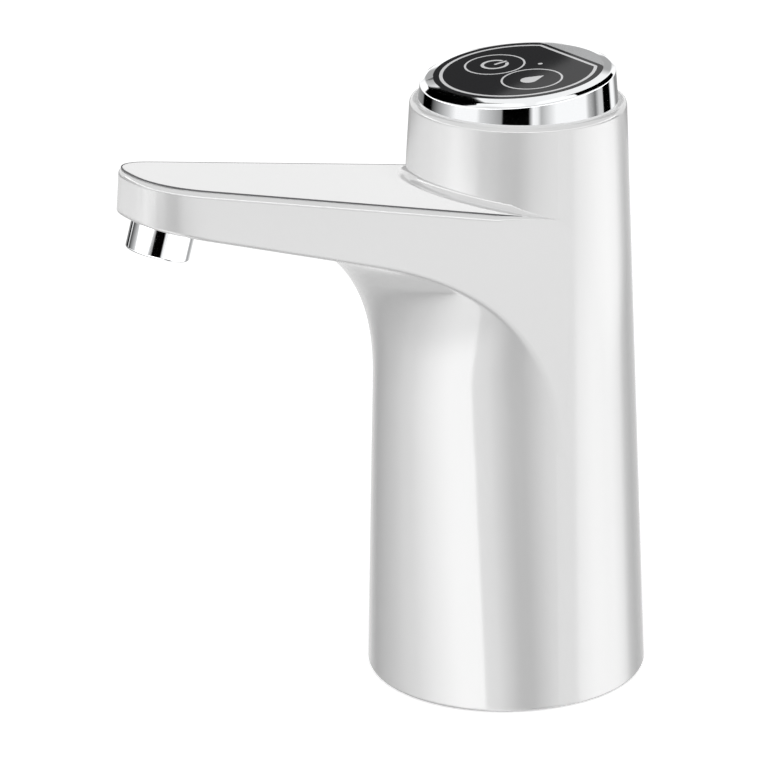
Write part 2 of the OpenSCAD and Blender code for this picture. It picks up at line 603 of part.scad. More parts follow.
module idler_gear() color("ivory") at_idler() translate([0, 0, gear_z + gear_lift]) difference() {
    linear_extrude(gear_t) rotate(90 + 180 / gear_teeth) gear_plan();
    translate([0, 0, -1]) cylinder(r = idler_pin + bearing_clear, h = gear_t + 2);
}

pin_seat = 2;
module idler_axle() color("silver") at_idler() translate([0, 0, gear_z - gasket_t - pin_seat])
    cylinder(r = idler_pin, h = gasket_t + gear_t + 2 * pin_seat);

can_t = 1;
module motor_can() color("silver") at_drive() translate([0, 0, motor_z]) difference() {
    union() {
        cylinder(r = motor_r, h = motor_h);
        translate([0, 0, -1.5]) cylinder(r = 3.1, h = 2);
    }
    translate([0, 0, can_t]) cylinder(r = motor_r - can_t, h = motor_h);
    translate([0, 0, -2]) cylinder(r = shaft_r + bearing_clear, h = 6);
}

magnet_t = 2.2;
module motor_magnets() color("dimgray") at_drive() translate([0, 0, motor_z + 4])
    for (a = [0, 180]) rotate([0, 0, a - 55]) rotate_extrude(angle = 110)
        translate([motor_r - can_t - magnet_t, 0]) square([magnet_t, motor_h - 9]);

cap_t = 3;
cap_hub = [3.5, 7];
tab = [2.4, 0.5, 6];
tab_x = 7;
module motor_end_cap() color("gainsboro") at_drive() translate([0, 0, motor_z + motor_h - 2]) difference() {
    union() {
        cylinder(r = motor_r - can_t, h = cap_t);
        translate([0, 0, -2]) cylinder(r = cap_hub[0], h = cap_hub[1]);
        for (side = [-1, 1]) translate([side * tab_x, 0, cap_t - 1 + tab[2] / 2]) cube(tab, center = true);
    }
    translate([0, 0, -3]) cylinder(r = shaft_r + bearing_clear, h = cap_hub[1]);
}

rotor_r = motor_r - can_t - magnet_t - 0.4;
module motor_rotor() color("sienna") at_drive() {
    translate([0, 0, gear_z + gear_lift]) cylinder(r = shaft_r, h = motor_z - gear_z + motor_h + 1);
    translate([0, 0, motor_z + 5]) difference() {
        cylinder(r = rotor_r, h = motor_h - 13);
        for (a = [0, 120, 240]) rotate([0, 0, a]) translate([rotor_r, 0, -1]) cylinder(r = 2.6, h = motor_h);
    }
    translate([0, 0, motor_z + motor_h - 8.2]) cylinder(r = 3, h = 3.6);
}

// Delivery hose: from the pump barb up the column and along the arm
hose_z = top_z(0, cover_t + hose_r + 0.9);
elbow_low = 8;
elbow_high = 12;
hose_start = pump_x + pump_hx + 0.5;
high_x = riser_x + elbow_high;
high_z = hose_z + tan(arm_top_rise) * (high_x - elbow_high * sin(arm_top_rise))
    - elbow_high * cos(arm_top_rise);
core_gap = 11.5;
hose_end = nozzle_x - core_gap;
barb_in = 7;
// The bends are a hair fuller than the straight runs, which reach a little way into them
bend_more = 0.02;
lap = 0.5;
module bend(radius, r, from, to) rotate([90, 0, 0]) rotate([0, 0, from]) rotate_extrude(angle = to - from)
    translate([radius, 0]) circle(r = r + bend_more);
module in_arm() { translate([0, 0, hose_z]) rotate([0, arm_top_rise, 0]) children(); }
module hose_run(r) {
    translate([-hose_start, 0, outlet_z]) rotate([0, -90, 0])
        cylinder(r = r, h = riser_x - elbow_low - hose_start + lap);
    translate([-riser_x + elbow_low, 0, outlet_z + elbow_low]) bend(elbow_low, r, 180, 270);
    translate([-riser_x, 0, outlet_z + elbow_low - lap])
        cylinder(r = r, h = high_z - outlet_z - elbow_low + 2 * lap);
    translate([-high_x, 0, high_z]) bend(elbow_high, r, 0, 90 - arm_top_rise);
    in_arm() translate([-hose_end / cos(arm_top_rise), 0, 0]) rotate([0, 90, 0])
        cylinder(r = r, h = (hose_end - high_x) / cos(arm_top_rise) + elbow_high * tan(arm_top_rise) + lap);
}
module delivery_hose() color("white") difference() {
    hose_run(hose_r);
    hose_run(barb_r + 0.03);
}

// Outlet: a turned core held in the arm, an elbow that the hose pushes on, and the bright sleeve
core_r = nozzle_r - 2.1;
outlet_wall = 1.4;
outlet_depth = 4;
core_flange = 1.4;
flange_r = nozzle_r + 0.7;
flange_room = 0.2;
core_bore = 2.6;
elbow_r = 4.4;
elbow_h = 6.4;
module at_core() in_arm() translate([-nozzle_x / cos(arm_top_rise), 0, 0]) rotate([0, 90, 0]) children();
module nozzle_core() color("white") at_nozzle() difference() {
    union() {
        translate([0, 0, -nozzle_drop + 1]) cylinder(r = core_r, h = nozzle_drop + wall);
        translate([0, 0, wall]) cylinder(r = flange_r, h = core_flange);
    }
    translate([0, 0, -nozzle_drop]) cylinder(r = core_r - outlet_wall, h = outlet_depth);
    translate([0, 0, -nozzle_drop]) cylinder(r = core_bore, h = BIG);
}

module outlet_elbow() color("white") difference() {
    union() {
        at_nozzle() translate([0, 0, wall + core_flange]) cylinder(r = elbow_r, h = elbow_h - core_flange);
        at_core() barb(barb_r, core_gap / cos(arm_top_rise) + barb_in);
    }
    at_nozzle() cylinder(r = core_bore, h = wall + elbow_h - 2.4);
    at_core() cylinder(r = barb_bore, h = core_gap + 2 * barb_in);
    at_nozzle() translate([0, 0, wall + core_flange - BIG]) cylinder(r = flange_r + flange_room, h = BIG);
}

sleeve_edge = 0.6;
module nozzle_sleeve() color("silver") at_nozzle() rotate_extrude() difference() {
    union() {
        translate([core_r, -nozzle_drop + sleeve_edge])
            square([nozzle_r - core_r, nozzle_drop - sleeve_edge + wall]);
        translate([core_r + sleeve_edge, -nozzle_drop])
            square([nozzle_r - core_r - 2 * sleeve_edge, sleeve_edge + 0.1]);
        translate([core_r + sleeve_edge, -nozzle_drop + sleeve_edge]) circle(r = sleeve_edge);
        translate([nozzle_r - sleeve_edge, -nozzle_drop + sleeve_edge]) circle(r = sleeve_edge);
    }
    translate([-1, -20]) square([1, 40]);
}

main_housing();
arm_cover();
trim_ring();
touch_glass();
panel_carrier();
control_board();
board_parts();
sensing_pads();
indicator_lamp();
board_screws();
base_collar();
neck_seal();
chassis();
deck_screws();
cell_cradle();
cell();
charge_board();
charge_socket();
inlet_spigot();
pump_cover();
pump_body();
pump_gasket();
pump_screws();
drive_gear();
idler_gear();
idler_axle();
motor_can();
motor_magnets();
motor_end_cap();
motor_rotor();
delivery_hose();
outlet_elbow();
nozzle_core();
nozzle_sleeve();
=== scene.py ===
"""Looks of an electric water jug pump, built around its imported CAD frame. Lengths are in metres."""

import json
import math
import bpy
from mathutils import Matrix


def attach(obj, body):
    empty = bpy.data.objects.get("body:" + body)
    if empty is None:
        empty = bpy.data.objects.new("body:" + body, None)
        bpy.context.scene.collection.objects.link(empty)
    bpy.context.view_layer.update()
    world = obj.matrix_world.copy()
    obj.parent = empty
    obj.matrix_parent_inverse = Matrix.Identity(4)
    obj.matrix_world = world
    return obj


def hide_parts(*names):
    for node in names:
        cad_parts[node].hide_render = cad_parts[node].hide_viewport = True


bl_info = {
    "name": "Water Jug Pump",
    "version": (1, 0, 0),
    "blender": (4, 5, 0),
    "location": "View3D > Sidebar > Jug Pump",
    "description": "Dresses the CAD frame of a bottle-top water pump: skin, lid, trim, touch glass, studio",
    "category": "Add Mesh",
}

import bpy
import numpy as np
from bpy.props import FloatProperty, FloatVectorProperty, PointerProperty
from mathutils import Vector

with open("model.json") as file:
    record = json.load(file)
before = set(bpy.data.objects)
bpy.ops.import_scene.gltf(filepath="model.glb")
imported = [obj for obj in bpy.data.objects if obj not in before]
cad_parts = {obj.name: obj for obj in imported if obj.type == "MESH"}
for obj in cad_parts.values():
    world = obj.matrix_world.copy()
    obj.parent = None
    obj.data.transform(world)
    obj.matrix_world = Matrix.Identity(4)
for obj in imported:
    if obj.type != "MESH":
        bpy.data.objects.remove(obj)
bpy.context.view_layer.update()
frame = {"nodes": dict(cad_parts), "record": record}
MM = 0.001
DEG = math.pi / 180


def length(name, about, millimetres):
    """A length property whose default is given in millimetres."""
    return FloatProperty(name=name, description=about, default=millimetres * MM, min=0.0, unit="LENGTH")


def angle(name, about, degrees):
    """An angle property whose default is given in degrees."""
    return FloatProperty(name=name, description=about, default=degrees * DEG, subtype="ANGLE")


def colour(name, about, red, green, blue):
    """A linear colour property."""
    return FloatVectorProperty(
        name=name, description=about, default=(red, green, blue), min=0.0, max=1.0, size=3, subtype="COLOR"
    )


def amount(name, about, default, high=1.0):
    """A plain number property."""
    return FloatProperty(name=name, description=about, default=default, min=0.0, max=high)


def point(name, about, x, y, z):
    """A place in the scene."""
    return FloatVectorProperty(name=name, description=about, default=(x, y, z), subtype="TRANSLATION")


class JUGPUMP_PG_housing(bpy.types.PropertyGroup):
    """Sizes of the moulded shell and of the lid in its arm."""

    base_r: length("Base radius", "Radius of the round base", 37.5)
    rim_r: length("Rim radius", "Radius of the head at its rim", 28.7)
    rim_z: length("Rim height", "Height of the head rim", 161.5)
    front_reach: length("Front reach", "Reach of the column front from the axis", 40.8)
    wall: length("Wall", "Wall thickness of the shell", 2.4)
    base_edge: length("Base edge", "Rounding of the bottom edge", 1.2)
    rim_edge: length("Rim edge", "Rounding of the head rim", 1.5)
    arm_reach: length("Arm reach", "Reach of the spout arm from the axis", 117.5)
    tip_power: amount("Tip fullness", "Power of the round arm tip's plan, where 2 is an ellipse", 2.6, 8.0)
    arm_taper: angle("Arm taper", "Angle between each side wall and the arm axis", 7.5)
    arm_top_z: length("Arm top", "Height of the arm top plane on the axis", 135.2)
    arm_top_rise: angle("Arm top rise", "Upward slope of the arm top", 12)
    arm_under_z: length("Arm underside", "Height of the underside plane on the axis", 113.8)
    arm_under_rise: angle("Underside rise", "Upward slope of the arm underside", 16.4)
    arm_edge: length("Arm edge", "Rounding of the arm top edge", 2.1)
    head_fillet: length("Head fillet", "Fillet where the head rises from the arm", 2.4)
    wall_edge: length("Wall edge", "Rounding of the swept edge under the arm", 1.0)
    cover_border: length("Cover border", "Width of the shell border around the lid", 1.0)
    cover_t: length("Lid thickness", "Thickness of the lid", 2)
    cover_gap: length("Lid gap", "Gap around the lid", 0.25)
    cover_edge: length("Lid edge", "Rounding of the lid's top edge", 0.2)
    # The dark joint around the lid is painted shade: a dark strip stands in for the shadow in the gap around
    # the lid.
    gap_shade_r: length("Seam", "Half width of the dark joint around the lid", 0.2)
    edge_start_z: length("Edge start", "Height where the wall edge leaves the column", 72)
    edge_flat: length("Edge flat", "Length of flat wall beside the column", 3.2)
    edge_end: length("Edge end", "Distance from the axis where the wall edge becomes straight", 59.5)
    flare_start_z: length("Flare start", "Height where the column front starts to flare", 86)
    flare_end: length("Flare end", "Distance from the axis where the flare meets the underside", 76)
    slot_z: length("Charging slot height", "Height of the charging slot at the back", 41)
    slot_r: length("Charging slot", "Half height of the charging slot", 1.8)
    slot_half: length("Charging slot half", "Half distance between the slot's round ends", 3)


class JUGPUMP_PG_head(bpy.types.PropertyGroup):
    """Sizes of the bright ring, the touch glass and its printed lines."""

    ring_r: length("Ring radius", "Outer radius of the bright ring", 26.4)
    ring_h: length("Ring height", "Height of the ring's upright wall on the axis", 6)
    panel_tilt: angle("Panel tilt", "Slope of the touch panel towards the spout", 5.6)
    ring_lean: angle("Ring lean", "Draft of the ring's wall", 5.5)
    ridge_r: length("Ridge radius", "Radius of the ridge around the ring's face", 24.6)
    ridge_h: length("Ridge height", "Height of the ridge above the upright wall", 0.85)
    ring_edge: length("Ring edge", "Rounding of the upright wall's top edge", 0.25)
    glass_r: length("Glass radius", "Radius of the touch glass", 22.5)
    glass_back: length("Glass back edge", "Distance from the axis to the glass's straight back edge", 17.8)
    glass_t: length("Glass thickness", "Thickness of the touch glass", 1.2)
    glass_h: length("Glass height", "Height of the glass above the upright wall", 1.4)
    print_r: length("Outline radius", "Radius of the printed outline", 20.4)
    print_back: length("Outline back edge", "Distance from the axis to the outline's straight edge", 16.2)
    print_line: length("Outline width", "Width of the printed outline and signs", 0.9)
    key_line: length("Key line width", "Width of each printed key circle", 0.55)
    key_r: length("Key radius", "Radius of each printed key circle", 7.9)
    key_y: length("Key offset", "Distance of each key from the centre line", 8.5)
    key_x: length("Key shift", "Distance of the keys from the axis towards the spout", 1.6)
    lamp_x: length("Lamp place", "Distance from the axis back to the lamp dot", 7.2)


class JUGPUMP_PG_nozzle(bpy.types.PropertyGroup):
    """Sizes of the nozzle sleeve under the arm tip."""

    nozzle_r: length("Sleeve radius", "Radius of the bright nozzle sleeve", 8.2)
    nozzle_drop: length("Sleeve drop", "Length of nozzle below the arm", 7.8)
    nozzle_inset: length("Nozzle inset", "Distance from the arm's reach back to the nozzle", 9.8)
    sleeve_wall: length("Sleeve wall", "Wall of the bright sleeve", 2.1)
    sleeve_edge: length("Sleeve edge", "Rounding of the sleeve's lower edge", 0.6)


class JUGPUMP_PG_finish(bpy.types.PropertyGroup):
    """Colours and gloss of the finishes."""

    white: colour("White plastic", "Colour of the moulded shell", 0.80, 0.80, 0.80)
    white_rough: amount("White roughness", "Roughness of the moulded shell", 0.10)
    bright: colour("Bright trim", "Colour of the plated trim", 0.86, 0.87, 0.88)
    black: colour("Black print", "Colour behind the touch glass", 0.006, 0.006, 0.008)
    lines: colour("Printed lines", "Colour of the printed lines", 0.88, 0.88, 0.89)
    floor: colour("Floor", "Colour of the studio floor", 0.85, 0.85, 0.85)


class JUGPUMP_PG_studio(bpy.types.PropertyGroup):
    """Camera and light of the studio."""

    camera_at: point("Camera", "Place of the camera", -0.5015, -0.7074, 0.4084)
    camera_aim: point("Aim", "Point that the camera looks at", -0.0296, 0.0192, 0.0804)
    focal_px: amount("Focal length", "Focal length in pixels of the photograph", 3400, 10000)
    image_px: amount("Image width", "Width of the photograph in pixels", 769, 4000)
    ambient: amount("Ambient", "Strength of the even light from the surroundings", 0.74, 4.0)
    card_at: point("Card", "Middle of the dark card mirrored in the touch glass", 0.495, 0.7866, 0.5383)
    card_turn: angle("Card turn", "Lean of the dark card's upper edge", 18)
    reflected: amount("Softbox", "Strength of the softboxes seen in reflections", 3.3, 40.0)


class JUGPUMP_PG_settings(bpy.types.PropertyGroup):
    """All settings of the pump."""

    housing: PointerProperty(type=JUGPUMP_PG_housing)
    head: PointerProperty(type=JUGPUMP_PG_head)
    nozzle: PointerProperty(type=JUGPUMP_PG_nozzle)
    finish: PointerProperty(type=JUGPUMP_PG_finish)
    studio: PointerProperty(type=JUGPUMP_PG_studio)


# Meshes from grids

def place(name, data):
    """Links a mesh, a camera or a lamp to the scene as an object at the origin."""
    piece = bpy.data.objects.new(name, data)
    bpy.context.scene.collection.objects.link(piece)
    return piece


def shade(mesh, sharp_deg=35):
    """Smooth shading that keeps edges sharper than the given angle."""
    mesh.shade_smooth()
    mesh.set_sharp_from_angle(angle=sharp_deg * DEG)


def grid_faces(stations, rows, closed_rows):
    """Quads of a grid that closes around its stations, and along its rows too if asked, as an index array."""
    k = np.arange(stations)[:, None]
    r = np.arange(rows if closed_rows else rows - 1)[None, :]
    after = (k + 1) % stations
    above = (r + 1) % rows
    corners = (k * rows + r, after * rows + r, after * rows + above, k * rows + above)
    return np.stack(np.broadcast_arrays(*corners), axis=-1).reshape(-1, 4)


def welded(points, quads):
    """Joins points that fall together and drops what collapses; a quad may become a triangle."""
    apart = 0.001 * MM
    _, first, back = np.unique(np.round(points / apart), axis=0, return_index=True, return_inverse=True)
    quads = back.reshape(-1)[quads]
    same = quads == np.roll(quads, -1, axis=1)
    lost = same.sum(axis=1)
    crossed = (quads[:, 0] == quads[:, 2]) | (quads[:, 1] == quads[:, 3])
    faces = quads[(lost == 0) & ~crossed].tolist()
    for side in range(4):
        picked = quads[(lost == 1) & same[:, side] & ~crossed]
        faces += np.delete(picked, side, axis=1).tolist()
    return points[first], faces


def signed_volume(points, faces):
    """Volume inside the faces, positive where they point outwards: tetrahedra over fanned triangles."""
    total = 0.0
    for count in {len(face) for face in faces}:
        loops = np.array([face for face in faces if len(face) == count])
        for n in range(1, count - 1):
            a, b, c = points[loops[:, 0]], points[loops[:, n]], points[loops[:, n + 1]]
            total += np.einsum("ij,ij->", a, np.cross(b, c)) / 6
    return total


def closed_mesh(name, points, faces, sharp_deg=35):
    """A mesh from points and faces, turned so that its normals point out."""
    if signed_volume(points, faces) < 0:
        faces = [face[::-1] for face in faces]
    mesh = bpy.data.meshes.new(name)
    mesh.from_pydata(points.tolist(), [], faces)
    mesh.validate()
    shade(mesh, sharp_deg)
    return mesh


def ring_mesh(name, rings, sharp_deg=35):
    """A solid from closed rings of points, the first and the last filled flat, as [ring, point, xyz]."""
    count, sides = rings.shape[:2]
    points = rings.transpose(1, 0, 2).reshape(-1, 3)
    first = np.arange(sides) * count
    ends = [first.tolist(), (first[::-1] + count - 1).tolist()]
    return closed_mesh(name, points, grid_faces(sides, count, False).tolist() + ends, sharp_deg)


def turned_mesh(name, radius, height, to_world):
    """A closed profile of radii and heights turned about an axis, carried to its place by to_world."""
    sides = 160
    turn = around(sides)[:, None]
    points = np.stack([radius * np.cos(turn), radius * np.sin(turn), height + 0 * turn], -1)
    faces = grid_faces(sides, len(radius), True).tolist()
    return closed_mesh(name, to_world(points.reshape(-1, 3)), faces)


def around(count):
    """Angles of a full turn, evenly spaced."""
    return np.linspace(0, 2 * math.pi, count, endpoint=False)


def quarter(steps):
    """Angles from 0 to a right angle."""
    return np.linspace(0, math.pi / 2, steps + 1)


def bend(t, start, corner, end):
    """A quadratic curve from a start to an end, pulled towards a corner."""
    return (1 - t) ** 2 * start + 2 * t * (1 - t) * corner + t * t * end


def smooth(t):
    """A soft step from 0 to 1 as t goes from 0 to 1."""
    t = np.clip(t, 0, 1)
    return t * t * (3 - 2 * t)


def cut(piece, cutters):
    """Takes the cutters out of a piece for good, and deletes them."""
    for cutter in cutters:
        step = piece.modifiers.new("cut", "BOOLEAN")
        step.operation = "DIFFERENCE"
        step.solver = "EXACT"
        step.object = cutter
    done = bpy.data.meshes.new_from_object(piece.evaluated_get(bpy.context.evaluated_depsgraph_get()))
    piece.modifiers.clear()
    piece.data = done
    shade(done)
    for cutter in cutters:
        bpy.data.objects.remove(cutter)


def even_normals(piece):
    """Normals weighted by face area, so that flat faces stay flat beside small roundings."""
    step = piece.modifiers.new("even normals", "WEIGHTED_NORMAL")
    step.keep_sharp = True


# Shape of the shell

class Skin:
    """The shell's surface as formulas. w is how far inside the outer face a point lies.

    Half of the shell is a grid. A station is an upright line on the outline, from the arm tip along the side
    wall and round the back. A row is a line around the shell. A level is a row below the swept wall edge: it
    crosses the column front, or the arm's underside, on an elliptic arc that ends on the wall edge.
    """

    LOW_N = 8
    EDGE_N = 56
    RUN_N = 10
    TIP_N = 24
    BACK_N = 44
    ROUND_N = 6
    LID_SIDE_N = 23
    LID_ARC_N = 20
    SIDE_TOP = 126 * MM
    SIDE_RUN = 13 * MM
    SIDE_INNER = (4 * MM, 2 * MM)
    INNER_ROUND = 0.3 * MM
    SHELF_DROP = 2 * MM
    LID_SIDE_UP = 3 * MM
    LID_ARC_UP = 6 * MM
    CREASE = 5 * MM
    CREASE_LOW = 58 * MM
    CREASE_RISE = 32 * MM
    CREASE_TOP = 122 * MM
    CREASE_FALL = 24 * MM

    def __init__(self, sizes):
        self.s = sizes
        self.sin_t = math.sin(sizes.arm_taper)
        self.cos_t = math.cos(sizes.arm_taper)
        self.top_slope = math.tan(sizes.arm_top_rise)
        self.under_slope = math.tan(sizes.arm_under_rise)
        self.levels = 1 + self.LOW_N + self.EDGE_N + self.RUN_N + self.TIP_N
        self.front = self.levels - self.LOW_N
        self.half = self.front + self.BACK_N + 1
        tip_z = sizes.arm_top_z + self.top_slope * sizes.arm_reach
        tip_r = (self.body_r(tip_z) - sizes.arm_reach * self.sin_t) / (1 - self.sin_t)
        self.tip_x = tip_r - sizes.arm_reach
        self.tip_turn = math.pi / 2 * np.arange(self.TIP_N, -1, -1) / self.TIP_N
        self.station = np.arange(self.half)
        self.head_line = self.wall_line(sizes.arm_top_z + 0 * self.station, 0, 0)
        self.toward = self.head_line / np.linalg.norm(self.head_line, axis=-1, keepdims=True)

    def body_r(self, z, w=0):
        """Radius of the cone that the column and the head share."""
        return self.s.base_r + (self.s.rim_r - self.s.base_r) * z / self.s.rim_z - w

    def tip_r(self, z, w=0):
        """Radius of the round arm tip, which leans like the cone."""
        return self.body_r(z, w) + self.tip_x * self.sin_t

    def top_z(self, x, drop=0):
        """Height of the arm top plane, or of a plane below it."""
        return self.s.arm_top_z - self.top_slope * x - drop / math.cos(self.s.arm_top_rise)

    def under_z(self, x, w=0):
        """Height of the underside plane."""
        return self.s.arm_under_z - self.under_slope * x + w / math.cos(self.s.arm_under_rise)

    def wall_y(self, x, z, w):
        """Distance of the flat side wall from the middle plane."""
        return (self.body_r(z, w) + x * self.sin_t) / self.cos_t

    def on_wall(self, x, z, w):
        """Points on the flat side wall."""
        return np.stack([x, self.wall_y(x, z, w), z], -1)

    def flat_x(self, along, z, w):
        """x of a point on the flat side wall, by its distance along it from where it leaves the cone."""
        return -self.body_r(z, w) * self.sin_t - along * self.cos_t

    def front_x(self, z, w):
        """x of the middle line: upright, then a quadratic curve that flares into the sloping underside."""
        x0, z0 = w - self.s.front_reach, self.s.flare_start_z
        x2 = -self.s.flare_end
        z1, z2 = self.under_z(x0, w), self.under_z(x2, w)
        a, b = z0 - 2 * z1 + z2, 2 * (z1 - z0)
        t = (-b + np.sqrt(np.maximum(0, b * b - 4 * a * (z0 - z)))) / (2 * a)
        sloped = (self.under_z(0, w) - z) / self.under_slope
        return np.where(z <= z0, x0, np.where(z >= z2, sloped, x0 + (x2 - x0) * t * t))

    def wall_edge(self, w):
        """Points on the swept wall edge, level by level: upright beside the column, a quadratic curve, a
        straight run along the arm, then the round of the tip."""
        s = self.s
        z = np.linspace(s.base_edge, s.edge_start_z, self.LOW_N + 1)[:-1]
        low = self.on_wall(self.flat_x(s.edge_flat, z, w), z, w)
        x0, x2 = self.flat_x(s.edge_flat, s.edge_start_z, w) + w, -s.edge_end
        t = np.linspace(0, 1, self.EDGE_N + 1)
        x = x0 + (x2 - x0) * t * t
        swept = self.on_wall(x, bend(t, s.edge_start_z, self.under_z(x0, w), self.under_z(x2, w)), w)
        tip = self.tip_edge(w, 0)
        x = np.linspace(x2, tip[0, 0], self.RUN_N + 1)[1:]
        run = self.on_wall(x, self.under_z(x, w), w)
        return np.concatenate([low, swept, run, tip[1:]])

    def tip_plan(self, turn, z, inset):
        """x and y of the round tip: a superellipse as deep as its half width, with sides that lean like the
        walls."""
        power = 2 / self.s.tip_power
        front = self.tip_x - self.tip_r(z, inset)
        half = self.wall_y(front, z, inset) / (1 - self.sin_t / self.cos_t)
        x = front + half * (1 - np.maximum(0, np.cos(turn)) ** power)
        return x, np.sin(turn) ** power * self.wall_y(x, z, inset)

    def tip_edge(self, w, short):
        """Lower edge of the round tip, from the side wall to the middle plane, taken in by a length."""
        x, y = self.tip_plan(self.tip_turn, self.under_z(self.tip_x, w), w + short)
        return np.stack([x, y, self.under_z(x, w)], -1)

    def arcs(self, edge, level, share, w):
        """Elliptic arcs from the middle line to the wall edge: share 0 is the middle and 1 the edge. Where
        the edge sweeps up they bend in a little beside it, so that they meet the wall at a crease."""
        almost_1 = 0.99999
        edge_x, edge_y, z = np.moveaxis(edge[level], -1, 0)
        reach = -self.front_x(z, w)
        sweep = np.arccos(np.minimum(almost_1, -edge_x / reach))
        across = np.sin(sweep * share) / np.sin(sweep)
        crease = self.CREASE * smooth((z - self.CREASE_LOW) / self.CREASE_RISE)
        crease = crease * smooth((self.CREASE_TOP - z) / self.CREASE_FALL)
        x = -reach * np.cos(sweep * share) + crease * across ** 4 * (1 - across)
        return np.stack([x, -edge_y * across, z], -1)

    def back_turn(self):
        """Angles of the stations on the cone, from where the flat wall leaves it to the back."""
        return (math.pi / 2 + self.s.arm_taper) * (1 - np.arange(self.BACK_N + 1) / self.BACK_N)

    def lower(self, w, short):
        """All levels at all stations, as [station, level, xyz]; the arcs stop short of the wall edge by a
        length."""
        edge = self.wall_edge(w)
        edge[-self.TIP_N:] = self.tip_edge(w, short)[1:]
        span = np.hypot(edge[:, 0] - self.front_x(edge[:, 2], w), edge[:, 1])
        every = np.arange(self.levels)
        whole = np.where(every < self.levels - self.TIP_N, 1 - short / np.maximum(span, 4 * short), 1)
        i = np.arange(self.front)[:, None]
        level = np.minimum(every[None, :], self.levels - 1 - i)
        last = np.minimum(self.levels - 1 - level, self.front - 1)
        share = np.where(last > 0, i / np.maximum(last, 1), 0) * whole[level]
        arm = self.arcs(edge, level, share, w)
        z = np.minimum(edge[:, 2], self.SIDE_TOP)[None, :]
        turn = self.back_turn()[:, None]
        r = self.body_r(z, w)
        back = np.stack(np.broadcast_arrays(r * np.cos(turn), -r * np.sin(turn), z), -1)
        return np.concatenate([arm, back])

    def edge_round(self, lower):
        """Rounding of the wall edge, as [station, row, xyz]: a curve from the end of each arc, pulled towards
        the edge, to a point as far up the side wall."""
        edge = self.wall_edge(0)
        size = self.s.wall_edge
        flow = np.gradient(edge[:, [0, 2]], axis=0)
        flow = flow / np.linalg.norm(flow, axis=1, keepdims=True)
        x, z = edge[:, 0] + size * flow[:, 1], edge[:, 2] - size * flow[:, 0]
        above = self.on_wall(x, z, 0)
        z = edge[-self.TIP_N - 1:, 2] + size
        above[-self.TIP_N - 1:] = np.stack([*self.tip_plan(self.tip_turn, z, 0), z], -1)
        level = self.levels - 1 - np.arange(self.front)
        start = lower[:self.front, -1][:, None]
        mid = (edge[level] * [1, -1, 1])[:, None]
        end = (above[level] * [1, -1, 1])[:, None]
        t = (np.arange(1, self.ROUND_N + 1) / self.ROUND_N)[None, :, None]
        arm = bend(t, start, mid, end)
        back = np.repeat(lower[self.front:, -1:], self.ROUND_N, axis=1)
        return np.concatenate([arm, back])

    def wall_line(self, z, w, d):
        """x and y of every station's upright wall line at its height z, taken in by d."""
        i = self.station
        inset = w + d
        turn = np.zeros(self.half)
        turn[self.front:] = self.back_turn()
        r = self.body_r(z, inset)
        cone = np.stack([r * np.cos(turn), -r * np.sin(turn)], -1)
        x, y = self.tip_plan(math.pi / 2 * np.minimum(i, self.TIP_N) / self.TIP_N, z, inset)
        tip = np.stack([x, -y], -1)
        x = self.wall_edge(0)[np.clip(self.levels - 1 - i, 0, None), 0]
        along = -(x + self.body_r(z) * self.sin_t) / self.cos_t
        flat_y = -(self.body_r(z, inset) * self.cos_t - along * self.sin_t)
        flat = np.stack([self.flat_x(along, z, inset), flat_y], -1)
        pick = np.where(i >= self.front, 0, np.where(i <= self.TIP_N, 1, 2))
        return np.stack([cone, tip, flat])[pick, i]

    def at_top(self, w, d, drop):
        """Every station's point on the arm top plane, taken in by d."""
        z = self.s.arm_top_z + 0 * self.station
        z = self.top_z(self.wall_line(z, w, d)[:, 0], drop)
        q = self.wall_line(z, w, d)
        return np.column_stack([q, self.top_z(q[:, 0], drop)])

    def by_head(self, w, d, h, drop):
        """Every station's point beside the head, d out from the cone and h above the arm top plane."""
        x = self.toward[:, 0] * self.body_r(self.s.arm_top_z, w)
        r = self.body_r(self.top_z(x, drop) + h, w) + d
        q = self.toward * r[:, None]
        return np.column_stack([q, self.top_z(q[:, 0], drop) + h])

    def on_cone(self, z, w):
        """Every station's point on the cone at a height."""
        z = z + 0 * self.station
        return np.column_stack([self.toward * self.body_r(z, w)[:, None], z])

    def upper(self):
        """Rows over the arm: its rounded edge, the top, and the fillet up to the head; the back climbs the
        cone."""
        edge_share, fillet_share = 0.3, 0.5
        gap = np.linalg.norm(self.head_line, axis=-1) - self.body_r(self.s.arm_top_z)
        gap = np.maximum(0, gap)
        edge = np.minimum(self.s.arm_edge, edge_share * gap)
        fillet = np.minimum(self.s.head_fillet, fillet_share * gap)
        rows = []
        for a in quarter(self.ROUND_N):
            row = self.at_top(0, edge * (1 - math.cos(a)), 0)
            row[:, 2] -= edge * (1 - math.sin(a))
            rows.append(row)
        for a in quarter(self.ROUND_N):
            rows.append(self.by_head(0, fillet * (1 - math.sin(a)), fillet * (1 - math.cos(a)), 0))
        climb = self.SIDE_RUN * (np.arange(len(rows)) + 1) / len(rows)
        for row, rise in zip(rows, climb):
            row[self.front:] = self.on_cone(self.SIDE_TOP + rise, 0)[self.front:]
        return np.stack(rows, 1)

    def rim(self):
        """Rounded rim of the head."""
        size = self.s.rim_edge
        rows = [self.on_cone(self.s.rim_z - size * (1 - math.sin(a)), size * (1 - math.cos(a)))
                for a in quarter(self.ROUND_N)]
        return np.stack(rows, 1)

    def inside(self, bore, shelf):
        """Rows from the head opening down the inner face, to a shelf below the arm top."""
        s = self.s
        rows = [np.column_stack([self.toward * bore, s.rim_z + 0 * self.station]),
                np.column_stack([self.toward * bore, s.rim_z - s.wall + 0 * self.station]),
                self.on_cone(s.rim_z - s.wall, s.wall),
                self.by_head(s.wall, 0, 0, shelf), self.at_top(s.wall, 0, shelf)]
        for row, rise in zip(rows[-2:], self.SIDE_INNER):
            row[self.front:] = self.on_cone(self.SIDE_TOP + rise, s.wall)[self.front:]
        return np.stack(rows, 1)

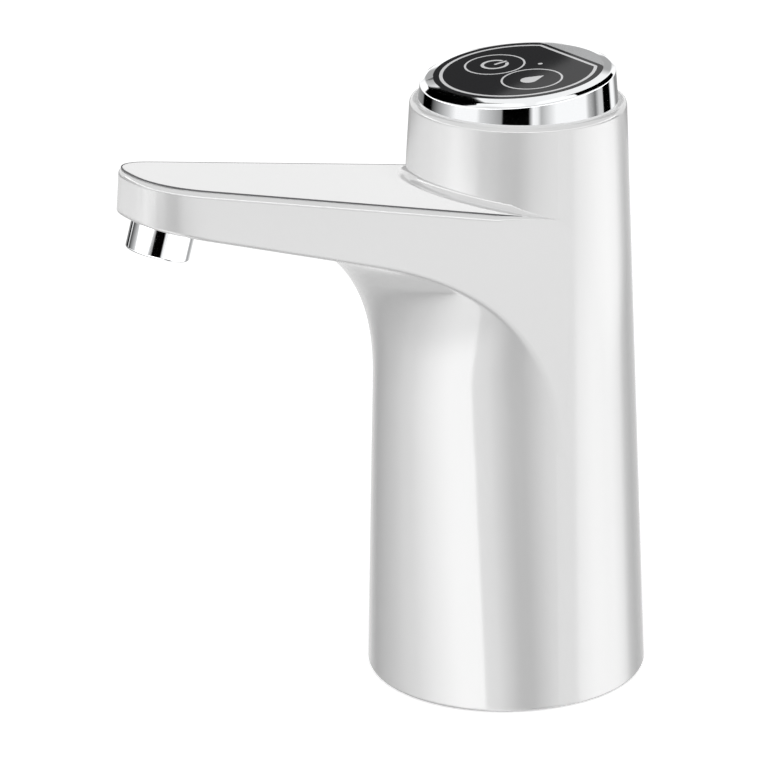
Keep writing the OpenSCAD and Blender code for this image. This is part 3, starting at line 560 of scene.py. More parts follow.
    def foot(self, w, z):
        """Outline of the base, taken in by w, at height z."""
        edge = self.wall_edge(w)
        i = np.arange(self.front)
        arm = self.arcs(edge, np.zeros(self.front, int), i / (self.front - 1), w)
        turn = self.back_turn()
        r = self.body_r(0, w)
        back = np.stack([r * np.cos(turn), -r * np.sin(turn), 0 * turn], -1)
        row = np.concatenate([arm, back])
        row[:, 2] = z
        return row

    def mesh(self, bore):
        """The whole shell: both halves, outside and inside, as one closed skin."""
        s = self.s
        base = [self.foot(s.base_edge * (1 - math.sin(a)), s.base_edge * (1 - math.cos(a)))
                for a in quarter(self.ROUND_N)[:-1]]
        outer = self.lower(0, s.wall_edge)
        inner = self.lower(s.wall, self.INNER_ROUND)[:, ::-1]
        rows = [np.stack(base, 1), outer, self.edge_round(outer), self.upper(), self.rim(),
                self.inside(bore, s.cover_t + self.SHELF_DROP), inner, self.foot(s.wall, 0)[:, None]]
        near = np.concatenate(rows, 1)
        whole = np.concatenate([near, near[-2:0:-1] * [1, -1, 1]])
        stations, count = whole.shape[:2]
        points, faces = welded(whole.reshape(-1, 3), grid_faces(stations, count, True))
        return closed_mesh("shell", points, faces)

    def lid_outline(self, d):
        """Plan of the lid in the arm top plane, taken in by d: the round tip, the straight sides, and an arc
        about the axis that follows the head."""
        s = self.s
        tip = self.at_top(0, d, 0)[:self.TIP_N + 1, :2]
        head_r = self.body_r(s.arm_top_z + self.LID_ARC_UP) + s.head_fillet
        z = s.arm_top_z + self.LID_SIDE_UP
        wall_r = self.body_r(z, d)
        along = math.sqrt(head_r * head_r - wall_r * wall_r)
        corner = np.array([self.flat_x(along, z, d), -(wall_r * self.cos_t - along * self.sin_t)])
        side = corner + (tip[-1] - corner) * np.linspace(1, 0, self.LID_SIDE_N + 1)[1:, None]
        start = math.atan2(-corner[1], -corner[0])
        turn = start * np.linspace(1, 0, self.LID_ARC_N + 1)[1:]
        arc = -np.linalg.norm(corner) * np.stack([np.cos(turn), np.sin(turn)], -1)
        near = np.concatenate([tip, side, arc])
        return np.concatenate([near, near[-2:0:-1] * [1, -1]])

    def lid_ring(self, d, h):
        """A ring of the lid: its plan taken in by d, h above the arm top plane along that plane's normal."""
        q = self.lid_outline(d)
        lean = math.sin(self.s.arm_top_rise)
        upright = math.cos(self.s.arm_top_rise)
        return np.column_stack([q[:, 0] + h * lean, q[:, 1], self.top_z(q[:, 0]) + h * upright])


# Shape of the head

class Panel:
    """The sloping plane of the touch panel, through the top of the ring's upright wall."""

    def __init__(self, head, rim_z):
        self.h = head
        self.rim_z = rim_z
        self.z = rim_z + head.ring_h
        self.sin_p = math.sin(head.panel_tilt)
        self.cos_p = math.cos(head.panel_tilt)
        self.turn = around(288)
        self.fall = head.ridge_h / (head.ring_r - head.ridge_r) + self.sin_p / self.cos_p

    def at(self, radius, height):
        """A ring of points in the panel's plane, by radius and height above it."""
        x, y = radius * np.cos(self.turn), radius * np.sin(self.turn)
        z = self.z + x * self.sin_p + height * self.cos_p
        return np.stack([x * self.cos_p - height * self.sin_p, y, z], -1)

    def face_h(self, radius):
        """Height of the ring's face: steep outside the ridge, gentle up to the glass, level inside it."""
        h = self.h
        gentle = h.glass_h + (h.ridge_h - h.glass_h) * (radius - h.glass_r) / (h.ridge_r - h.glass_r)
        steep = h.ridge_h - (radius - h.ridge_r) * self.fall
        return np.where(radius > h.ridge_r, steep, np.minimum(h.glass_h, gentle))

    def glass_edge(self, d):
        """Radius of the glass outline at each angle, taken in by d: the smooth minimum of the circle and the
        straight back edge."""
        power = 60
        across = np.maximum(np.cos(self.turn), 0.001)
        straight = (self.h.glass_back - d) / across
        return ((self.h.glass_r - d) ** -power + straight ** -power) ** (-1 / power)

    def upright(self, radius, z):
        """A level ring about the pump's axis."""
        return np.stack([radius * np.cos(self.turn), radius * np.sin(self.turn), z + 0 * self.turn], -1)

    def ring_rows(self):
        """Rows of the bright ring: up the wall, over its rounded edge and the ridge, in to the glass, then
        down the ledge and back inside."""
        h = self.h
        gap, ledge, ledge_t = 0.05 * MM, 1.4 * MM, 2 * MM
        wall, seat, lift = 1.3 * MM, 3.9 * MM, 0.02 * MM
        ridge_half, ridge_cut = 0.25 * MM, 0.03 * MM
        lean = math.tan(h.ring_lean)
        outer = h.ring_r
        for _ in range(3):
            x = outer * np.cos(self.turn)
            slant = np.hypot(x / self.cos_p, outer * np.sin(self.turn))
            top = self.z + x * self.sin_p / self.cos_p + self.face_h(slant)
            outer = h.ring_r - lean * (top - self.rim_z)
        start = self.upright(outer + lean * h.ring_edge, top - h.ring_edge)
        corner = self.upright(outer, top)
        r = slant - h.ring_edge
        end = self.at(r, self.face_h(r))
        rows = [self.upright(h.ring_r, self.rim_z + lift)]
        rows += [bend(t, start, corner, end) for t in (0, 0.25, 0.5, 0.75, 1)]
        rows += [self.at(r, self.face_h(r) - drop) for r, drop in (
            (h.ridge_r + ridge_half, 0), (h.ridge_r, ridge_cut), (h.ridge_r - ridge_half, 0),
            (h.glass_r + 0.5 * MM, 0), (h.glass_r + 0.2 * MM, 0))]
        edge = self.glass_edge(-gap)
        glass_z = h.glass_h - h.glass_t
        rows += [self.at(edge, self.face_h(edge)), self.at(edge, glass_z)]
        inner = self.glass_edge(ledge)
        rows += [self.at(inner, glass_z), self.at(inner, glass_z - ledge_t)]
        rows += [self.upright(h.glass_r - ledge, self.rim_z - seat),
                 self.upright(h.ring_r - wall, self.rim_z - seat),
                 self.upright(h.ring_r - wall, self.rim_z + lift)]
        return np.stack(rows, 1)

    def glass_rings(self):
        """Rings of the glass plate, with a fine rounded top edge."""
        h = self.h
        low = h.glass_h - h.glass_t
        edge, lift = 0.06 * MM, 0.01 * MM
        rings = [self.at(self.glass_edge(0), low + lift)]
        rings += [self.at(self.glass_edge(edge * (1 - math.cos(a))), h.glass_h - edge * (1 - math.sin(a)))
                  for a in quarter(4)]
        return np.stack(rings)


def nozzle_frame(housing, nozzle):
    """Carries points from the nozzle's own frame, with its axis up, to the underside of the arm."""
    slope = housing.arm_under_rise
    x0 = nozzle.nozzle_inset - housing.arm_reach
    base = np.array([x0, 0, housing.arm_under_z - math.tan(slope) * x0])
    sin, cos = math.sin(slope), math.cos(slope)
    axes = np.array([[cos, 0, -sin], [0, 1, 0], [sin, 0, cos]])

    def to_world(points):
        return base + points @ axes

    return to_world


# Materials

class Tree:
    """Short ways to build a node tree. A value is a plain one or another node's output."""

    def __init__(self, tree):
        self.tree = tree

    def add(self, kind, options):
        """A new shader node with its options set."""
        made = self.tree.nodes.new("ShaderNode" + kind)
        for option, value in options.items():
            setattr(made, option, value)
        return made

    def feed(self, socket, value):
        """Sets a socket to a plain value, or links another node's output to it."""
        if isinstance(value, bpy.types.NodeSocket):
            self.tree.links.new(value, socket)
        else:
            socket.default_value = value

    def node(self, kind, sockets, **options):
        """A node with its sockets fed by name; returns its outputs."""
        made = self.add(kind, options)
        for name, value in sockets.items():
            self.feed(made.inputs[name], value)
        return made.outputs

    def flow(self, kind, *values, **options):
        """A node with its sockets fed in their order; returns its first output in use."""
        made = self.add(kind, options)
        for socket, value in zip(made.inputs, values):
            self.feed(socket, value)
        return next(output for output in made.outputs if output.enabled)

    def maths(self, operation, *values):
        """Output of a Math node."""
        return self.flow("Math", *values, operation=operation)

    def noise(self, at, scale, detail, low, span):
        """Soft noise that runs from a low value through a span."""
        share = self.node("TexNoise", {"Vector": at, "Scale": scale, "Detail": detail})["Fac"]
        return self.maths("MULTIPLY_ADD", share, span, low)


def new_material(name):
    """An empty node material and its tree."""
    material = bpy.data.materials.new(name)
    material.use_nodes = True
    material.node_tree.nodes.clear()
    return material, Tree(material.node_tree)


def principled(tree, sockets):
    """Makes one Principled shader the surface of a material's tree."""
    tree.node("OutputMaterial", {"Surface": tree.node("BsdfPrincipled", sockets)["BSDF"]})


def node_group(name, inputs, outputs):
    """A shader node group with sockets by name and kind; returns it, its tree and both of its ends."""
    group = bpy.data.node_groups.new(name, "ShaderNodeTree")
    for side, sockets in (("INPUT", inputs), ("OUTPUT", outputs)):
        for title, kind in sockets.items():
            group.interface.new_socket(title, in_out=side, socket_type="NodeSocket" + kind)
    given, result = [group.nodes.new("NodeGroup" + end) for end in ("Input", "Output")]
    return group, Tree(group), given.outputs, result.inputs


def moulded_group():
    """Moulded surface: a fine waviness as height, a faint mottle on the colour and a mottled roughness."""
    broad_scale = 28.0
    group, tree, given, result = node_group(
        "moulded surface",
        {"Colour": "Color", "Roughness": "Float", "Scale": "Float", "Mottle": "Float"},
        {"Colour": "Color", "Roughness": "Float", "Height": "Float"})
    at = tree.node("TexCoord", {})["Object"]
    fine = tree.node("TexNoise", {"Vector": at, "Scale": given["Scale"], "Detail": 3.0, "Roughness": 0.5})
    centred = tree.noise(at, broad_scale, 4.0, -0.5, 1.0)
    swing = tree.maths("MULTIPLY_ADD", centred, given["Mottle"], 1.0)
    tree.feed(result["Colour"], tree.flow("VectorMath", given["Colour"], swing, operation="MULTIPLY"))
    tree.feed(result["Roughness"], tree.maths("MULTIPLY", given["Roughness"], swing))
    tree.feed(result["Height"], fine["Fac"])
    return group


def moulded(name, group, tint, roughness, scale, mottle, relief, extra):
    """A material whose colour, roughness and fine relief come from the moulded surface group."""
    relief_depth = 0.2 * MM
    material, tree = new_material(name)
    surface = tree.node("Group", {"Colour": (*tint, 1), "Roughness": roughness, "Scale": scale,
                                  "Mottle": mottle}, node_tree=group)
    bump = tree.node("Bump", {"Strength": relief, "Distance": relief_depth, "Height": surface["Height"]})
    principled(tree, {"Base Color": surface["Colour"], "Roughness": surface["Roughness"],
                      "Normal": bump["Normal"], **extra})
    return material


def ring_mark_group():
    """Mask of a printed ring or dot: 1 where a place is a radius from the centre, within half a width."""
    group, tree, given, result = node_group(
        "ring mark",
        {"Vector": "Vector", "Centre": "Vector", "Radius": "Float", "Width": "Float"},
        {"Mask": "Float"})
    away = tree.flow("VectorMath", given["Vector"], given["Centre"], operation="SUBTRACT")
    flat = tree.flow("VectorMath", away, (1, 1, 0), operation="MULTIPLY")
    off = tree.maths("SUBTRACT", tree.flow("VectorMath", flat, operation="LENGTH"), given["Radius"])
    half = tree.maths("MULTIPLY", given["Width"], 0.5)
    tree.feed(result["Mask"], tree.maths("LESS_THAN", tree.maths("ABSOLUTE", off), half))
    return group


def panel_places(tree, head, panel):
    """Places on the panel in its own millimetres: as a vector, along x, along y and from the axis."""
    at = tree.node("Mapping", {"Vector": tree.node("TexCoord", {})["Object"], "Location": (0, 0, panel.z),
                               "Rotation": (0, -head.panel_tilt, 0), "Scale": (MM, MM, MM)},
                   vector_type="TEXTURE")["Vector"]
    split = tree.node("SeparateXYZ", {"Vector": at})
    x, y = split["X"], split["Y"]
    squares = tree.maths("ADD", tree.maths("MULTIPLY", x, x), tree.maths("MULTIPLY", y, y))
    return at, x, y, tree.maths("SQRT", squares)


def head_ring_material(finish, head, panel):
    """Bright plating, brushed along the straight edge on the flat behind the glass."""
    back = head.glass_back / MM + 0.2
    reach = head.glass_r / MM + 0.1
    grain = (14, 0.6, 1)
    material, tree = new_material("head_ring")
    at, x, _, from_axis = panel_places(tree, head, panel)
    behind, within = tree.maths("GREATER_THAN", x, back), tree.maths("LESS_THAN", from_axis, reach)
    flat = tree.maths("MULTIPLY", behind, within)
    stretched = tree.node("Mapping", {"Vector": at, "Scale": grain})["Vector"]
    brushed = tree.noise(stretched, 1.0, 4.0, 0.12, 0.12)
    polished = tree.noise(at, 0.2, 4.0, 0.02, 0.05)
    rough = tree.node("Mix", {"Factor": flat, "A": polished, "B": brushed})["Result"]
    principled(tree, {"Metallic": 1.0, "Base Color": (*finish.bright, 1), "Roughness": rough})
    return material


def touch_glass_material(finish, head, panel):
    """Black glass with printed lines below its gloss, drawn in the panel's own millimetres: an outline with a
    straight back, two key circles, an on-off sign, a drop and a lamp dot."""
    material, tree = new_material("touch_glass")
    at, x, y, from_axis = panel_places(tree, head, panel)
    marks = ring_mark_group()
    calc = tree.maths

    def ring(along, aside, radius, width):
        return tree.node("Group", {"Vector": at, "Centre": (along, aside, 0), "Radius": radius,
                                   "Width": width}, node_tree=marks)["Mask"]

    def dot(along, aside, size):
        return ring(along, aside, 0.0, size)

    def near(value, middle, reach):
        return calc("LESS_THAN", calc("ABSOLUTE", calc("SUBTRACT", value, middle)), reach)

    line = head.print_line / MM
    key_x = -head.key_x / MM
    key_y = head.key_y / MM
    round_off = calc("SUBTRACT", from_axis, head.print_r / MM)
    back_off = calc("SUBTRACT", x, head.print_back / MM)
    outline = near(calc("MAXIMUM", round_off, back_off), 0.0, line / 2)

    sign_r, gap_half, stroke_up, stroke_half = 3.3, 1.0, 1.9, 2.0
    gap = calc("MULTIPLY", near(y, key_y, gap_half), calc("GREATER_THAN", x, key_x))
    circle = calc("MULTIPLY", ring(key_x, key_y, sign_r, line), calc("SUBTRACT", 1.0, gap))
    stroke = calc("MULTIPLY", near(y, key_y, line / 2), near(x, key_x + stroke_up, stroke_half))

    drop_r, drop_x, drop_top, drop_slope, shoulder = 2.2, key_x - 1.0, 5.0, 0.5, 1.1
    up = calc("SUBTRACT", x, drop_x)
    side = calc("ABSOLUTE", calc("SUBTRACT", y, -key_y))
    half_width = calc("MULTIPLY", calc("SUBTRACT", drop_top, up), drop_slope)
    cone = calc("MULTIPLY", calc("LESS_THAN", side, half_width), calc("GREATER_THAN", up, shoulder))

    lamp_size = 1.3
    printed = outline
    for mark in (circle, stroke, cone, dot(drop_x, -key_y, 2 * drop_r), dot(head.lamp_x / MM, 0.0, lamp_size),
                 *[ring(key_x, place_y, head.key_r / MM, head.key_line / MM) for place_y in (key_y, -key_y)]):
        printed = calc("MAXIMUM", printed, mark)
    inked = tree.node("Mix", {"Factor": printed, "A": (*finish.black, 1), "B": (*finish.lines, 1)},
                      data_type="RGBA")["Result"]
    smear = tree.noise(at, 0.09, 5.0, 0.01, 0.05)
    principled(tree, {"Base Color": inked, "Roughness": smear, "IOR": 1.5})
    return material


class Finishes:
    """All materials, made once and kept by name."""

    # Colour, roughness, scale of the relief, mottle, strength of the relief and metallic share
    PLAIN = {
        # The first row is the colour of the dark strip in the lid's gap: painted shade for the shadow there.
        "gap_shade": ((0.1, 0.1, 0.105), 0.6, 900, 0.1, 0.1, 0),
        "lamp_lens": ((0.6, 0.72, 0.85), 0.15, 400, 0.05, 0.02, 0),
        "grey_plastic": ((0.34, 0.35, 0.36), 0.45, 700, 0.08, 0.15, 0),
        "circuit_board": ((0.02, 0.13, 0.05), 0.35, 1200, 0.25, 0.3, 0),
        "board_chip": ((0.02, 0.02, 0.022), 0.5, 1500, 0.1, 0.3, 0),
        "spring_pad": ((0.5, 0.5, 0.52), 0.3, 900, 0.1, 0.05, 1),
        "soft_seal": ((0.62, 0.63, 0.63), 0.6, 500, 0.06, 0.2, 0),
        # Steel is darker than bare steel here: partly its own colour, partly painted shade for the inside of
        # the charging slot, where the socket shows.
        "steel": ((0.3, 0.3, 0.31), 0.4, 800, 0.15, 0.08, 1),
        "magnet": ((0.05, 0.05, 0.055), 0.6, 1500, 0.2, 0.4, 0),
        "cell_wrap": ((0.03, 0.12, 0.33), 0.22, 300, 0.06, 0.03, 0),
        "pump_plastic": ((0.6, 0.6, 0.57), 0.45, 700, 0.06, 0.15, 0),
        "gear_plastic": ((0.72, 0.68, 0.55), 0.4, 700, 0.06, 0.1, 0),
        "rotor_steel": ((0.42, 0.25, 0.14), 0.4, 900, 0.2, 0.2, 0.9),
    }
    GLOSSY = {"IOR": 1.7, "Specular IOR Level": 1.0}
    made = {}

    @classmethod
    def build(cls, settings, panel):
        """Makes every finish of the pump."""
        finish = settings.finish
        group = moulded_group()
        rows = {**cls.PLAIN, "bright_trim": (finish.bright, 0.05, 900, 0.05, 0.004, 1)}
        cls.made = {name: moulded(name, group, *row, {"Metallic": metallic})
                    for name, (*row, metallic) in rows.items()}
        cls.made["white_plastic"] = moulded("white_plastic", group, finish.white, finish.white_rough,
                                            500, 0.02, 0.006, cls.GLOSSY)
        cls.made["head_ring"] = head_ring_material(finish, settings.head, panel)
        cls.made["black_glass"] = touch_glass_material(finish, settings.head, panel)


# Operators

def dress(piece, finish, slot_name, *nodes):
    """Gives a new piece its finish and the housing as its body, and hides the CAD nodes that it stands for;
    slot_name is not used.
    """
    piece.data.materials.clear()
    piece.data.materials.append(Finishes.made[finish])
    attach(piece, "housing")
    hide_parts(*nodes)


class Step:
    """One step of the build, on the scene's pump."""

    def execute(self, context):
        self.build(context.scene.jug_pump)
        return {"FINISHED"}


class JUGPUMP_OT_finishes(Step, bpy.types.Operator):
    """Makes the materials and gives every CAD node its finish"""

    bl_idname = "jugpump.finishes"
    bl_label = "Finishes"

    def build(self, pump):
        Finishes.build(pump, Panel(pump.head, pump.housing.rim_z))
        for part in frame["record"]["subparts"]:
            node = frame["nodes"][part["node"]]
            node.data.materials.clear()
            node.data.materials.append(Finishes.made[part["material_slot"]])
            node.visible_glossy = False


class JUGPUMP_OT_shell(Step, bpy.types.Operator):
    """Builds the moulded shell with the lid's recess, the nozzle hole and the charging slot"""

    bl_idname = "jugpump.shell"
    bl_label = "Shell"

    def build(self, pump):
        bore = pump.head.ring_r - 1.1 * MM
        skin = Skin(pump.housing)
        shell = place("shell", skin.mesh(bore))
        cut(shell, [place(name, ring_mesh(name, np.stack(rings))) for name, rings in self.holes(skin, pump)])
        even_normals(shell)
        shell.visible_glossy = False
        dress(shell, "white_plastic", "white_plastic", "main_housing")

    def holes(self, skin, pump):
        """Names and end rings of what is cut out; each reaches past the wall on both sides."""
        s = pump.housing
        above_lid, into_nozzle, above_nozzle = 3 * MM, 3 * MM, 3.5 * MM
        slot_ends = (s.base_r - 6 * MM, s.base_r + 2 * MM)
        recess = s.cover_border - s.cover_gap
        turn = around(64)
        reach = pump.nozzle.nozzle_r + 0.05 * MM
        circle = np.stack([reach * np.cos(turn), reach * np.sin(turn), 0 * turn], -1)
        to_world = nozzle_frame(s, pump.nozzle)
        y = s.slot_r * np.cos(turn) + s.slot_half * np.sign(np.cos(turn))
        z = s.slot_r * np.sin(turn) + s.slot_z
        return (
            ("lid hole", [skin.lid_ring(recess, h) for h in (-s.cover_t - s.cover_gap, above_lid)]),
            ("nozzle hole", [to_world(circle + [0, 0, h]) for h in (-into_nozzle, above_nozzle)]),
            ("slot hole", [np.stack([x + 0 * y, y, z], -1) for x in slot_ends]),
        )


class JUGPUMP_OT_lid(Step, bpy.types.Operator):
    """Builds the lid let into the arm top, with a dark strip around it as painted shade in the gap"""

    bl_idname = "jugpump.lid"
    bl_label = "Arm lid"

    def build(self, pump):
        s = pump.housing
        skin = Skin(s)
        rings = [skin.lid_ring(s.cover_border, -s.cover_t)]
        rings += [skin.lid_ring(s.cover_border + s.cover_edge * (1 - math.cos(a)),
                                s.cover_edge * (math.sin(a) - 1)) for a in quarter(4)]
        lid = place("arm_lid", ring_mesh("arm_lid", np.stack(rings)))
        even_normals(lid)
        lid.visible_glossy = False
        dress(lid, "white_plastic", "white_plastic", "arm_cover")
        # A dark strip in the gap around the lid: painted shade for the gap's shadow.
        gap_shade = place("lid_gap_shade", ring_mesh("lid_gap_shade", self.gap_shade_rings(skin, s)))
        gap_shade.visible_glossy = False
        dress(gap_shade, "gap_shade", "white_plastic")

    def gap_shade_rings(self, skin, s):
        """A fine dark strip in the gap around the lid, painted shade that stands in for the shadow in the
        gap, from the head round the tip and back to the head: a small round section carried along the
        outline."""
        sunk = 0.8 * s.gap_shade_r
        side = skin.TIP_N + skin.LID_SIDE_N
        path = skin.lid_ring(s.cover_border - s.cover_gap / 2, -sunk)
        path = np.concatenate([path[-side:], path[:side + 1]])
        ahead = np.gradient(path, axis=0)
        ahead /= np.linalg.norm(ahead, axis=1, keepdims=True)
        up = np.array([math.sin(s.arm_top_rise), 0, math.cos(s.arm_top_rise)])
        across = np.cross(ahead, up)
        turn = around(8)[None, :, None]
        return path[:, None] + s.gap_shade_r * (np.cos(turn) * across[:, None] + np.sin(turn) * up)


class JUGPUMP_OT_head(Step, bpy.types.Operator):
    """Builds the bright ring and the touch glass"""

    bl_idname = "jugpump.head"
    bl_label = "Head"

    def build(self, pump):
        panel = Panel(pump.head, pump.housing.rim_z)
        rows = panel.ring_rows()
        faces = grid_faces(*rows.shape[:2], True).tolist()
        ring = place("head_ring", closed_mesh("head_ring", rows.reshape(-1, 3), faces, 30))
        even_normals(ring)
        dress(ring, "head_ring", "bright_trim", "trim_ring")
        glass = place("panel_glass", ring_mesh("panel_glass", panel.glass_rings(), 50))
        even_normals(glass)
        dress(glass, "black_glass", "black_glass", "touch_glass")


class JUGPUMP_OT_nozzle(Step, bpy.types.Operator):
    """Builds the bright nozzle sleeve"""

    bl_idname = "jugpump.nozzle"
    bl_label = "Nozzle"

    def build(self, pump):
        n = pump.nozzle
        top = pump.housing.wall
        inner = n.nozzle_r - n.sleeve_wall
        a = quarter(6)
        outer_r = n.nozzle_r - n.sleeve_edge * (1 - np.sin(a))
        inner_r = inner + n.sleeve_edge * (1 - np.sin(a))
        curve = -n.nozzle_drop + n.sleeve_edge * (1 - np.cos(a))
        radius = np.concatenate([[inner, n.nozzle_r], outer_r[::-1], inner_r])
        height = np.concatenate([[top, top], curve[::-1], curve])
        to_world = nozzle_frame(pump.housing, n)
        sleeve = place("nozzle_ring", turned_mesh("nozzle_ring", radius, height, to_world))
        even_normals(sleeve)
        sleeve.visible_glossy = False
        dress(sleeve, "bright_trim", "bright_trim", "nozzle_sleeve")


class Globe:
    """Softboxes around the pump: their share of full brightness by degrees to the right of the camera and
    degrees above the horizon. Below it the column, the head, the arm tip and the head ring each meet their
    own upright strips, which merge between. Above it a broad softbox stands in front and two dark flags
    behind."""

    # Stops of each set of strips: degrees to the right, share
    COLUMN = (
        (-180, 0.29), (-160, 0.26), (-140, 0.06), (-131, 0.07), (-113, 0.16), (-101, 0.25), (-89, 0.38),
        (-76, 0.46), (-56, 0.74), (-33, 1.0), (-12, 1.0), (-10.5, 0.56), (0, 0.48), (13, 0.11), (17, 0.02),
        (25, 0.02), (33, 0.22), (40, 0.4), (56, 0.6), (60, 0.8), (75, 0.94), (85, 0.92), (91, 0.87),
        (100, 0.85), (108, 0.7), (113, 0.62), (122, 0.27), (126, 0.18), (135, 0.11), (165, 0.27), (180, 0.29))
    HEAD = (
        (-180, 0.33), (-165, 0.27), (-143, 0.32), (-122, 0.46), (-102, 0.54), (-87, 0.66), (-69, 0.94),
        (-58, 1.04), (-48, 1.02), (-44, 0.9), (-39, 0.66), (-26, 0.48), (-18, 0.24), (-12, 0.14), (0, 0.12),
        (14, 0.46), (25, 0.53), (36, 0.57), (56, 0.59), (62, 0.72), (85, 0.93), (100, 0.95), (116, 0.78),
        (131, 0.28), (140, 0.16), (180, 0.33))
    TIP = (
        (-87, 0.48), (-71, 0.73), (-63, 0.62), (-55, 0.39), (-39, 0), (-2, 0), (12, 0.24), (30, 0.47),
        (56, 0.58))
    RING = (
        (-170, 0.11), (-144, 0.08), (-140, 0), (-120, 0), (-116, 0.03), (-88, 0.21), (-77, 0.33), (-50, 0.33),
        (-45, 0.23), (-21, 0.11), (-19, 0), (10, 0), (15, 0.33), (20, 0.3), (24, 0.15), (42, 0.33),
        (81, 0.33), (86, 0.18), (97, 0.06), (104, 0.21), (111, 0.21), (113, 0), (128, 0), (132, 0.33),
        (140, 0.33), (150, 0.08), (170, 0.11))
    # Stops above the horizon: degrees of rise, share
    FRONT = ((15, 1.0), (20, 0.31), (58, 0.31), (68, 0.2))
    BACK = ((-4, 0.37), (9, 0.37), (12, 0.13), (26, 0.13), (31, 0.31))
    # Soft changes: degrees where one starts, and through how many it runs
    DIMMED = (-30, -20)
    TIP_FROM = (-10.15, 0.35)
    TIP_TO = (-7.8, -0.6)
    SAG_FROM = (60, 50)
    FRONT_TO = (128, -10)
    FRONT_FROM = (5, 3)
    BACK_FROM = (160, 8)
    COLUMN_SLANT = 0.6
    COLUMN_UPRIGHT = -22
    COLUMN_DIM = 0.3
    HEAD_START = -13.2
    HEAD_SAG = 2.8
    RING_START = -6
    RING_SAG = 10.2
    RING_RUN = 0.5
    BACK_SIDES = 0.35
    ABOVE = -4
    FLAG_TURNS = (-164.5, 158)
    FLAG_ASIDE = 126
    FLAG_RISES = (25, 62)

    def __init__(self, turn, rise):
        self.turn = turn
        self.rise = rise
        self.aside = np.abs(turn)

    @staticmethod
    def stops(table, at):
        """Share between the stops of a table."""
        return np.interp(at, *zip(*table))

    @staticmethod
    def ramp(value, start, run):
        """A soft step from 0 to 1 as a value goes on from its start, upwards or downwards."""
        return smooth((value - start) / run)

    @staticmethod
    def blend(first, second, share):
        """A share of the way from one level to another."""
        return first + (second - first) * share

    def below(self):
        """Strips of the column, the head, the arm tip and the ring."""
        turn, rise = self.turn, self.rise
        slanted = turn + self.COLUMN_SLANT * np.minimum(0, rise - self.COLUMN_UPRIGHT)
        column = self.stops(self.COLUMN, slanted) * (1 - self.COLUMN_DIM * self.ramp(rise, *self.DIMMED))
        head = self.stops(self.HEAD, turn)
        tip = np.where((turn > self.TIP[0][0]) & (turn < self.TIP[-1][0]), self.stops(self.TIP, turn), head)
        head = self.blend(head, tip, self.ramp(rise, *self.TIP_FROM) * self.ramp(rise, *self.TIP_TO))
        head_start = self.HEAD_START - self.HEAD_SAG * self.ramp(self.aside, *self.SAG_FROM)
        low = self.blend(column, head, self.ramp(rise, head_start, 1))
        ring_start = self.RING_START - self.RING_SAG * (1 - np.cos(turn * DEG / 2))
        return self.blend(low, self.stops(self.RING, turn), self.ramp(rise, ring_start, self.RING_RUN))

    def level(self):
        """The whole globe."""
        turn, rise, aside = self.turn, self.rise, self.aside
        low = self.below()
        front = self.blend(low, self.stops(self.FRONT, rise), self.ramp(rise, *self.FRONT_FROM))
        back = self.blend(self.BACK_SIDES, self.stops(self.BACK, rise), self.ramp(aside, *self.BACK_FROM))
        above = self.blend(back, front, self.ramp(aside, *self.FRONT_TO))
        flags = (turn > self.FLAG_TURNS[0]) & (turn < self.FLAG_TURNS[1]) & (aside > self.FLAG_ASIDE)
        flags = flags & (rise > self.FLAG_RISES[0]) & (rise < self.FLAG_RISES[1])
        return np.where(rise > self.ABOVE, np.where(flags, 0, above), low)


